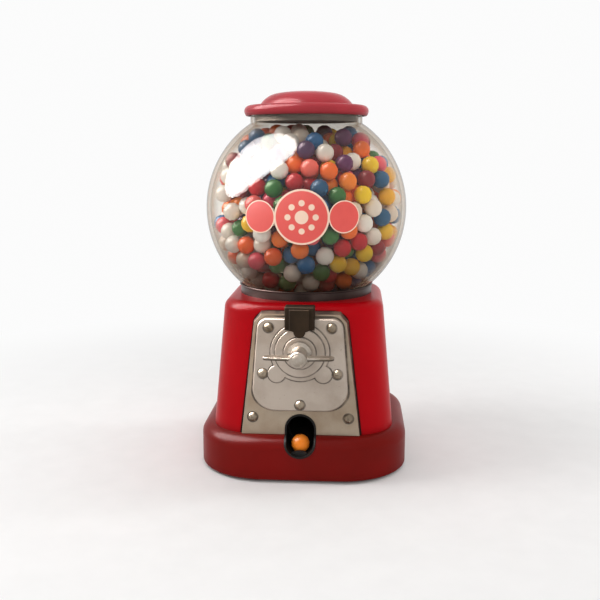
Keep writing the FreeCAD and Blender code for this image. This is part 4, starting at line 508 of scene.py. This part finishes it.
def rubbed(finish, spot, colour, tarnish, rough, metallic):
    """Sockets of rubbed metal: brush lines along the height, slow tarnish and a wandering gloss."""
    lines = finish.noise(finish.stretch(spot, BRUSH_LINES), 1.0, 2.0)
    cloud = finish.noise(spot, CLOUD_PER_METRE, 5.0, 0.6)
    spots = finish.rise(finish.noise(spot, SPOTS_PER_METRE, 2.0), 0.68, 0.80)
    tone = finish.blend(finish.rise(cloud, 0.35, 0.75), paint(*colour), paint(*tarnish))
    return {
        "Base_Color": finish.blend(0.45 * spots, tone, darker(paint(*tarnish), 0.4)),
        "Metallic": metallic,
        "Roughness": rough + 0.16 * cloud + 0.14 * lines,
        "Normal": finish.dents(lines, BRUSH_DEPTH, 0.4),
    }


def metal(name, colour, tarnish, rough, metallic):
    """A plain rubbed metal."""
    made, finish = material(name)
    finish.surface(**rubbed(finish, finish.place(), colour, tarnish, rough, metallic))
    return made


metals = {name: metal(name, *recipe) for name, recipe in METALS.items()}
print("metals", list(metals))

# %% [markdown]
# ## Painted shade on the nickel
# Dark, dull lines of painted shade lie where a raised step meets its plate, round the screw heads, along
# the plates' edges and under the wings of the handle. The distance from a step's outline, worked out from the
# same circles that shaped it, says how near a line is, and the screws are found in their own solids.

# %% Painted shade along lines
SHADE_LINE_TONE = paint(46, 37, 29)
SHADE_LINE_WIDTH = 0.0007
COVER_SHADE_LINE_WIDTH = 0.0012
SHADE_LINE_PER_METRE = 90.0
PLATE_ROUGH = 0.30
PLATE_METALLIC = 0.88
SCREW_HEAD = 0.0036


def screw_places(node):
    """Middles of a node's screws, across and in height."""
    front = rows_of(nodes[node].data.vertices, "co")[:, [0, 2]]
    return [0.5 * (run.min(axis=0) + run.max(axis=0)) for run in runs(front, 3 * SCREW_HEAD)]


def shade_line(finish, gap, width):
    """1 along an outline and just outside it, 0 elsewhere, from the distance to the outline."""
    return 1.0 - finish.rise(abs(gap - 0.5 * width), 0.3 * width, width)


def shaded_plate(name, colour, tarnish, gaps, width, edge_start, screws):
    """Rubbed nickel with painted shade along outlines, round screw heads and on the edge behind a depth."""
    made, finish = material(name)
    spot = finish.place()
    across, depth, height = finish.parts(spot)
    # Painted shade: dark lines on the edge band, along the outlines and round the screws.
    shade_lines = finish.rise(depth, edge_start, edge_start + SHADE_LINE_WIDTH)
    for gap in gaps(finish, across, height):
        shade_lines = shade_lines.math("MAXIMUM", shade_line(finish, gap, width))
    for centre in screws:
        gap = circle_gap(finish, across, height, centre.tolist(), SCREW_HEAD)
        shade_lines = shade_lines.math("MAXIMUM", shade_line(finish, gap, SHADE_LINE_WIDTH))
    shade_lines = shade_lines * (0.45 + 0.55 * finish.rise(finish.noise(spot, SHADE_LINE_PER_METRE), 0.35, 0.6))
    sockets = rubbed(finish, spot, colour, tarnish, PLATE_ROUGH, PLATE_METALLIC)
    # Where the painted shade lines lie, the colour goes dark and the metal share drops.
    sockets["Base_Color"] = finish.blend(0.9 * shade_lines, sockets["Base_Color"], SHADE_LINE_TONE)
    sockets["Metallic"] = PLATE_METALLIC - 0.75 * shade_lines
    finish.surface(**sockets)
    return made


print("screws on the cover", len(screw_places("cover_screws")))

# %% [markdown]
# The cover has a round pad with two ears and two lower steps on it, all about the shaft. The front plate
# only carries the cover. The handle has painted shade on the lower half of its wings.

# %% Cover, plate and handle
PLATE_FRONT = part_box("front_plate")[0].y
COVER_EDGE_BAND = 0.0009
COVER_EDGE = PLATE_FRONT - COVER_EDGE_BAND
PLATE_EDGE = PLATE_FRONT + SHADE_LINE_WIDTH
SHAFT_HEIGHT = 0.101
STEP_RADII = (0.0186, 0.0120)
PAD_RADIUS = 0.0220
EAR_RADIUS = 0.0066
EAR_PLACE = (0.0174, SHAFT_HEIGHT - 0.0166)
HUB_RADIUS = 0.0063
UNDERSIDE = 0.0005
UNDERSIDE_SHADE = 0.85


def cover_gaps(finish, across, height):
    """Distances from the raised pad with its two ears and from the steps on it."""
    pad = circle_gap(finish, across, height, (0.0, SHAFT_HEIGHT), PAD_RADIUS)
    ear = circle_gap(finish, abs(across), height, EAR_PLACE, EAR_RADIUS)
    steps = [circle_gap(finish, across, height, (0.0, SHAFT_HEIGHT), radius) for radius in STEP_RADII]
    return [pad.math("MINIMUM", ear)] + steps


def plate_gaps(finish, across, height):
    """Distance from the outline of the cover that lies on the plate."""
    return [tapered_gap(finish, across, height, COVER_OUTLINE)]


def handle_metal(name, colour, tarnish):
    """Rubbed nickel that fingers keep bright, with painted shade on the lower half of both wings."""
    made, finish = material(name)
    spot = finish.place()
    across, _, height = finish.parts(spot)
    # Painted shade under the wings: the lower half beside the hub is darkened.
    below = 1.0 - finish.rise(height, SHAFT_HEIGHT - UNDERSIDE, SHAFT_HEIGHT + UNDERSIDE)
    below = below * finish.rise(abs(across), HUB_RADIUS, HUB_RADIUS + SHADE_LINE_WIDTH)
    sockets = rubbed(finish, spot, colour, tarnish, 0.16, 0.95)
    sockets["Base_Color"] = finish.blend(UNDERSIDE_SHADE * below, sockets["Base_Color"], SHADE_LINE_TONE)
    finish.surface(**sockets)
    return made


PLATES = {
    "cover_nickel": (
        (176, 164, 152), (158, 145, 132), cover_gaps, SHADE_LINE_WIDTH, COVER_EDGE, screw_places("cover_screws")),
    "plate_nickel": (
        (164, 150, 132), (144, 126, 106), plate_gaps, COVER_SHADE_LINE_WIDTH, PLATE_EDGE,
        screw_places("front_plate_screws")),
}
nickels = {name: shaded_plate(name, *recipe) for name, recipe in PLATES.items()}
nickels["handle_nickel"] = handle_metal("handle_nickel", (180, 171, 160), (118, 105, 90))
print("nickels", list(nickels))

# %% [markdown]
# ## Glass
# Window glass sends back a little of what falls straight on it and far more of what skims it, and lets the
# rest through. A mix of a clear and a glossy shader with that law as its factor keeps the gumballs inside
# fully lit. The long way through the wall at the globe's edge darkens the glass, so its own colour comes in
# there. A brown film of dust and painted shade thickens towards the globe's foot, with a thinner one at the
# neck, where the lid shades the gumballs.

# %% Glass
STRAIGHT_ON = 0.016
SKIMMING = 0.30
CLEAR_TINT = (0.968, 0.957, 0.936, 1.0)
GLASS_GLOSS = 0.03
RIPPLE_PER_METRE = 22.0
RIPPLE_DEPTH = 0.0008
WALL_SHARE = 0.62
WALL_STEP = (0.56, 0.90)
RIM_STEP = (0.80, 0.91)
WALL_TONES = (paint(196, 176, 148), paint(66, 57, 48))
FILM_SHADE_TONE = paint(70, 56, 46)
FOOT_SHARE = 0.36
FOOT_HEIGHT = 0.060
NECK_SHARE = 0.15
NECK_HEIGHT = 0.034
NECK_FULL = 0.012

globe_glass, finish = material("globe_glass")
spot = finish.place()
facing = finish.node("ShaderNodeLayerWeight", {}, {"Blend": 0.5}, 1)
square = facing * facing
skim = STRAIGHT_ON + (SKIMMING - STRAIGHT_ON) * (square * square * facing)
ripple = finish.dents(finish.noise(spot, RIPPLE_PER_METRE, 1.0), RIPPLE_DEPTH, 0.25)
clear = finish.node("ShaderNodeBsdfTransparent", {}, {"Color": CLEAR_TINT})
gloss = finish.node("ShaderNodeBsdfGlossy", {}, {"Color": WHITE, "Roughness": GLASS_GLOSS, "Normal": ripple})
pane = finish.mix(skim, clear, gloss)

height = finish.parts(spot)[2]
globe_foot, globe_top = (corner.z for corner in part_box("globe"))
# Painted shade: a brown film over the gumballs, thickest at the foot and thinner under the lid at the neck.
foot_shade = FOOT_SHARE * (1.0 - finish.rise(height, globe_foot, globe_foot + FOOT_HEIGHT))
neck_shade = NECK_SHARE * finish.rise(height, globe_top - NECK_HEIGHT, globe_top - NECK_FULL)
dust_and_shade = finish.node("ShaderNodeBsdfDiffuse", {}, {"Color": FILM_SHADE_TONE})
shade_filmed = finish.mix(foot_shade + neck_shade, pane, dust_and_shade)

wall_tone = finish.blend(finish.rise(facing, *RIM_STEP), *WALL_TONES)
wall_sockets = {"Base Color": wall_tone, "Roughness": 0.12, "Specular IOR Level": 0.1}
wall = finish.node("ShaderNodeBsdfPrincipled", {}, wall_sockets)
finish.show(finish.mix(WALL_SHARE * finish.rise(facing, *WALL_STEP), shade_filmed, wall))
print("glass sends back", STRAIGHT_ON, "of the light that falls straight on it")

# %% [markdown]
# ## Rubber and black paint
# Seals and feet are dull rubber with a fine tooth. The outlet and the chute are painted black. Use has rubbed
# both paler in patches, so one recipe serves them, with a roughness and a grain for each.

# %% Rubber and black paint
RUBBED_PER_METRE = 60.0
TOOTH_DEPTH = 0.00008


def dull(name, colour, worn, rough, per_metre, specular):
    """A dull dark skin with a fine tooth and rubbed patches."""
    made, finish = material(name)
    spot = finish.place()
    patches = finish.rise(finish.noise(spot, RUBBED_PER_METRE, 4.0), 0.45, 0.75)
    tooth = finish.noise(spot, per_metre, 2.0)
    finish.surface(
        Base_Color=finish.blend(patches, paint(*colour), paint(*worn)), Specular_IOR_Level=specular,
        Roughness=rough - 0.12 * patches + 0.1 * tooth, Normal=finish.dents(tooth, TOOTH_DEPTH, 0.5))
    return made


DULL_SKINS = {
    "seal_rubber": ((34, 32, 31), (54, 51, 48), 0.72, 1200.0, 0.5),
    "outlet_black": ((17, 15, 14), (40, 33, 29), 0.42, 800.0, 0.2),
}
dull_skins = {name: dull(name, *recipe) for name, recipe in DULL_SKINS.items()}
print("dull skins", list(dull_skins))

# %% [markdown]
# ## Gumballs
# A gumball is a ball of gum under many thin coats of coloured sugar. The coats give it a soft gloss, a
# slightly pitted skin and a tone that differs from batch to batch. Each ball of the heap therefore carries
# one number of its own, and its colour passes from one shade to the other by that number. The few balls
# that lie loose in the machine are solids of their own and take their tone from a slow noise instead.

# %% Sugar coat
GUM_SHADES = {
    "white": ((244, 240, 234), (222, 200, 178)),
    "red": ((200, 14, 32), (108, 14, 28)),
    "orange": ((252, 94, 4), (248, 138, 22)),
    "yellow": ((248, 208, 8), (238, 152, 4)),
    "green": ((2, 100, 30), (70, 128, 60)),
    "blue": ((0, 112, 176), (10, 78, 116)),
    "purple": ((92, 14, 80), (82, 56, 98)),
    "pink": ((236, 74, 108), (240, 104, 86)),
}
VENDED_SHADES = ((246, 134, 0), (222, 102, 0))
SPECK_PER_METRE = 520.0
PITS_PER_METRE = 300.0
PIT_DEPTH = 0.0001
BLOOM = (1.0, 0.97, 0.93, 1.0)


def sugar(name, shades, own_number):
    """Sugar coat between two shades, by the ball's own number or else by a slow noise over the balls."""
    made, finish = material(name)
    spot = finish.place()
    if own_number:
        batch = finish.node("ShaderNodeAttribute", {"attribute_name": "batch"}, output="Fac")
    else:
        batch = 0.3 * finish.noise(spot, 20.0)
    speck = finish.noise(spot, SPECK_PER_METRE, 2.0)
    tone = finish.blend(batch, paint(*shades[0]), paint(*shades[1]))
    finish.surface(
        Base_Color=finish.blend(0.05 * speck, tone, BLOOM), Roughness=0.30 + 0.16 * speck, IOR=1.46,
        Specular_IOR_Level=0.14, Normal=finish.dents(finish.noise(spot, PITS_PER_METRE, 2.0), PIT_DEPTH, 0.3),
        Coat_Weight=0.05, Coat_Roughness=0.15)
    return made


heap_coats = {colour: sugar("sugar_" + colour, shades, True) for colour, shades in GUM_SHADES.items()}
loose_orange = sugar("sugar_orange_loose", VENDED_SHADES, False)
loose_yellow = sugar("sugar_yellow_loose", GUM_SHADES["yellow"], False)
print("sugar coats", len(heap_coats) + 2)

# %% [markdown]
# A ball that is copied hundreds of times has to be light. It starts as the six sides of a cube, each a
# small grid whose lines are spread by equal angles, and every point is pushed out to the sphere. That gives
# a few dozen faces of nearly equal size, with no pole where they crowd.

# %% Ball shape
GUMBALL_RADIUS = 0.007
BALL_LINES = 4


def ball_shape():
    """Points and faces of a unit ball: grids of equal angles on a cube's sides, pushed out to length 1."""
    turn = np.tan(np.linspace(-math.pi / 4, math.pi / 4, BALL_LINES))
    u, v = np.meshgrid(turn, turn, indexing="ij")
    side = np.stack([u, v, np.ones_like(u)], axis=-1).reshape(-1, 3)
    sides = [np.roll(side, shift, axis=1) for shift in range(3)]
    points = np.concatenate(sides + [-opposite for opposite in sides])
    points /= np.linalg.norm(points, axis=1, keepdims=True)
    faces = grid_faces(BALL_LINES, BALL_LINES)[None] + np.arange(6)[:, None, None] * len(side)
    # Points on the cube's edges belong to two or three sides and are merged.
    kept, number = np.unique(np.round(points, 6), axis=0, return_inverse=True)
    return kept, number.reshape(-1)[faces.reshape(-1, 4)]


def face_outwards(points, faces):
    """Faces of a shape round the origin, each turned so that its corners run round the way out."""
    first, second, last = (points[faces[:, corner]] for corner in (0, 1, 3))
    way_out = points[faces].mean(axis=1)
    outwards = np.einsum("ij,ij->i", np.cross(second - first, last - first), way_out) > 0
    return np.where(outwards[:, None], faces, faces[:, ::-1])


ball_points, ball_faces = ball_shape()
ball_faces = face_outwards(ball_points, ball_faces)
print("a ball has", len(ball_points), "points and", len(ball_faces), "faces")


# %% [markdown]
# The solids know where every ball lies but hold it as a finely faceted sphere. On a sphere, the centre is
# one radius behind any point against its normal, so the centres can be read back from the solid's own
# points. The light ball is then copied to all of them at once, and each copy draws its number for the sugar
# coat.

# %% Heap
HEAP_SEED = 5
SHADE_SPREAD = (0.8, 1.1)


def ball_centres(node):
    """Centres of a node's balls: points moved back along their normals, then averaged over each run."""
    mesh = nodes[node].data
    centres = rows_of(mesh.vertices, "co") - GUMBALL_RADIUS * rows_of(mesh.vertex_normals, "vector")
    return np.array([run.mean(axis=0) for run in runs(centres, GUMBALL_RADIUS)])


chance = np.random.default_rng(HEAP_SEED)
heap_total = 0
for colour, coat in heap_coats.items():
    centres = ball_centres("gumballs_" + colour)
    count = len(centres)
    points = (centres[:, None, :] + GUMBALL_RADIUS * ball_points[None]).reshape(-1, 3)
    faces = (ball_faces[None] + np.arange(count)[:, None, None] * len(ball_points)).reshape(-1, 4)
    heap = mesh_object("heap_" + colour, points, faces, coat)
    batch = heap.data.attributes.new("batch", "FLOAT", "POINT")
    numbers = np.repeat(chance.beta(*SHADE_SPREAD, count), len(ball_points))
    batch.data.foreach_set("value", numbers.astype(np.float32))
    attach(heap, "cabinet")
    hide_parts("gumballs_" + colour)
    heap_total += count
print("gumballs in the globe", heap_total)

# %% [markdown]
# ## Transfers on the globe
# Three round transfers sit on the front of the glass: a large coral one flanked by two small ones, each
# with a cream rim. A plain rosette of dots fills the large one. The film's own flat map, from -1 to 1
# across it, tells the shader where rim and dots are: folding the angle makes one dot serve for all eight.

# %% Transfer finish
RIM_SHARE = 0.93
SOFT_EDGE = 0.012
DOTS = 8
DOT_CIRCLE = 0.50
DOT_RADIUS = 0.11
HEART_RADIUS = 0.24
FADED_PER_METRE = 150.0
CORALS = (paint(236, 94, 86), paint(226, 84, 78))
CREAM = paint(250, 216, 192)


def beyond_circle(finish, distance, radius):
    """0 inside a circle and 1 outside it, with a soft edge."""
    return finish.rise(distance, radius - SOFT_EDGE, radius + SOFT_EDGE)


def rosette_share(finish, centred, out):
    """1 on a disc in the middle and on a ring of dots about it, 0 elsewhere."""
    across, up, _ = finish.parts(centred)
    half_sector = math.pi / DOTS
    bend = (up.math("ARCTAN2", across) + math.pi).math("PINGPONG", half_sector)
    dot = finish.arm(out * bend.math("COSINE") - DOT_CIRCLE, out * bend.math("SINE"))
    heart = 1.0 - beyond_circle(finish, out, HEART_RADIUS)
    return heart.math("MAXIMUM", 1.0 - beyond_circle(finish, finish.length(dot), DOT_RADIUS))


def transfer(name, rosette):
    """Coral film with a cream rim and, on the large one, a ring of cream dots round a cream disc."""
    made, finish = material(name)
    flat = finish.node("ShaderNodeUVMap", {"uv_map": "flat"})
    spread = {0: flat, 1: (2.0, 2.0, 0.0), 2: (-1.0, -1.0, 0.0)}
    centred = finish.node("ShaderNodeVectorMath", {"operation": "MULTIPLY_ADD"}, spread)
    out = finish.length(centred)
    cream = beyond_circle(finish, out, RIM_SHARE)
    if rosette:
        cream = cream.math("MAXIMUM", rosette_share(finish, centred, out))
    faded = finish.noise(finish.place(), FADED_PER_METRE, 4.0)
    tone = finish.blend(cream, finish.blend(faded, *CORALS), CREAM)
    finish.surface(Base_Color=tone, Roughness=0.38 + 0.2 * faded, IOR=1.45)
    return made


transfer_large = transfer("transfer_large", True)
transfer_small = transfer("transfer_small", False)
print("transfers with", DOTS, "dots")

# %% [markdown]
# A transfer is a thin film, so its shape is a cap of a sphere a hair larger than the globe. It is worked
# out on the top of a ball first: the distance of a point from the cap's middle is an arc, so its sine goes
# sideways and its cosine goes out. Then the whole cap is tilted to its height on the globe and swung to its
# place round it.

# %% Transfers
GLOBE_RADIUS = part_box("globe")[1].x
GLOBE_HEIGHT = 0.20267
FILM = 0.00012
FILM_RADIUS = GLOBE_RADIUS + FILM
TRANSFER_HEIGHT = 0.2012
TRANSFER_RIGHT = 0.0014
LARGE_RADIUS = 0.0203
SMALL_RADIUS = 0.0120
SMALL_TURN = 22.5
CAP_RINGS = 14
CAP_COLUMNS = 48


def flat_disc():
    """Points of a flat disc of radius 1: the middle, then rings at even distances and angles."""
    rings = np.linspace(0.0, 1.0, CAP_RINGS + 1)[1:]
    round_it = np.linspace(0.0, 2 * math.pi, CAP_COLUMNS, endpoint=False)
    share, angle = np.meshgrid(rings, round_it, indexing="ij")
    points = np.stack([share * np.cos(angle), share * np.sin(angle)], axis=-1).reshape(-1, 2)
    return np.concatenate([np.zeros((1, 2)), points])


def disc_faces():
    """Corner numbers of a disc's faces: triangles round the middle, then the grid between the rings."""
    first = np.arange(CAP_COLUMNS)
    middle = np.stack([np.zeros_like(first), first + 1, (first + 1) % CAP_COLUMNS + 1], axis=-1)
    rings = grid_faces(CAP_RINGS, CAP_COLUMNS, True)[:, ::-1] + 1
    return middle.tolist() + rings.tolist()


def cap_points(flat, radius, turn):
    """A disc laid on the film's sphere by arc and angle from its middle, then tilted and swung round."""
    away = np.linalg.norm(flat, axis=1)
    arc = away * radius / FILM_RADIUS
    scale = np.sin(arc) / np.maximum(away, 1e-9)
    right, up, out = flat[:, 0] * scale, flat[:, 1] * scale, np.cos(arc)
    tilt = math.asin((TRANSFER_HEIGHT - GLOBE_HEIGHT) / FILM_RADIUS)
    forward = out * math.cos(tilt) - up * math.sin(tilt)
    rise = out * math.sin(tilt) + up * math.cos(tilt)
    swing = math.radians(turn) + TRANSFER_RIGHT / FILM_RADIUS
    x = right * math.cos(swing) + forward * math.sin(swing)
    y = right * math.sin(swing) - forward * math.cos(swing)
    return np.stack([x, y, rise], axis=-1) * FILM_RADIUS + np.array([0.0, 0.0, GLOBE_HEIGHT])


def cap(name, radius, turn, skin):
    """A transfer on the globe, with the flat disc as its map."""
    flat = flat_disc()
    mesh = bpy.data.meshes.new(name)
    mesh.from_pydata(cap_points(flat, radius, turn).tolist(), [], disc_faces())
    corner = np.zeros(len(mesh.loops), dtype=np.int32)
    mesh.loops.foreach_get("vertex_index", corner)
    layer = mesh.uv_layers.new(name="flat")
    layer.data.foreach_set("uv", (0.5 + 0.5 * flat[corner]).astype(np.float32).ravel())
    made = place_mesh(name, mesh, skin)
    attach(made, "cabinet")
    return made


caps = [
    cap("transfer_middle", LARGE_RADIUS, 0.0, transfer_large),
    cap("transfer_left", SMALL_RADIUS, -SMALL_TURN, transfer_small),
    cap("transfer_right", SMALL_RADIUS, SMALL_TURN, transfer_small),
]
print("transfers", [piece.name for piece in caps])

# %% [markdown]
# ## Dressing the solids
# Each solid belongs to one of the record's material slots. The slots already say which pieces share a
# finish, so the solids are dressed slot by slot, and the plain colours that came with them go. The plug
# under the lid is steel like the inner works, but dulled by years of fingers, so it has a finish of its
# own.

# %% Dress
OWN_FINISH = {"lid_plug": "plug_steel"}

finishes = {**enamels, **metals, **nickels, **dull_skins, "globe_glass": globe_glass}
finishes["gum_orange"] = loose_orange
finishes["gum_yellow"] = loose_yellow
dressed = 0
for piece in frame["record"]["subparts"]:
    if piece["material_slot"] in finishes:
        slots = nodes[piece["node"]].data.materials
        slots.clear()
        slots.append(finishes[OWN_FINISH.get(piece["node"], piece["material_slot"])])
        dressed += 1
print("solids dressed", dressed, "of", len(nodes))

# %% [markdown]
# ## The end
# The picture keeps the plain standard view of its colours.

# %% Finish
scene = bpy.context.scene
scene.view_settings.view_transform = "Standard"
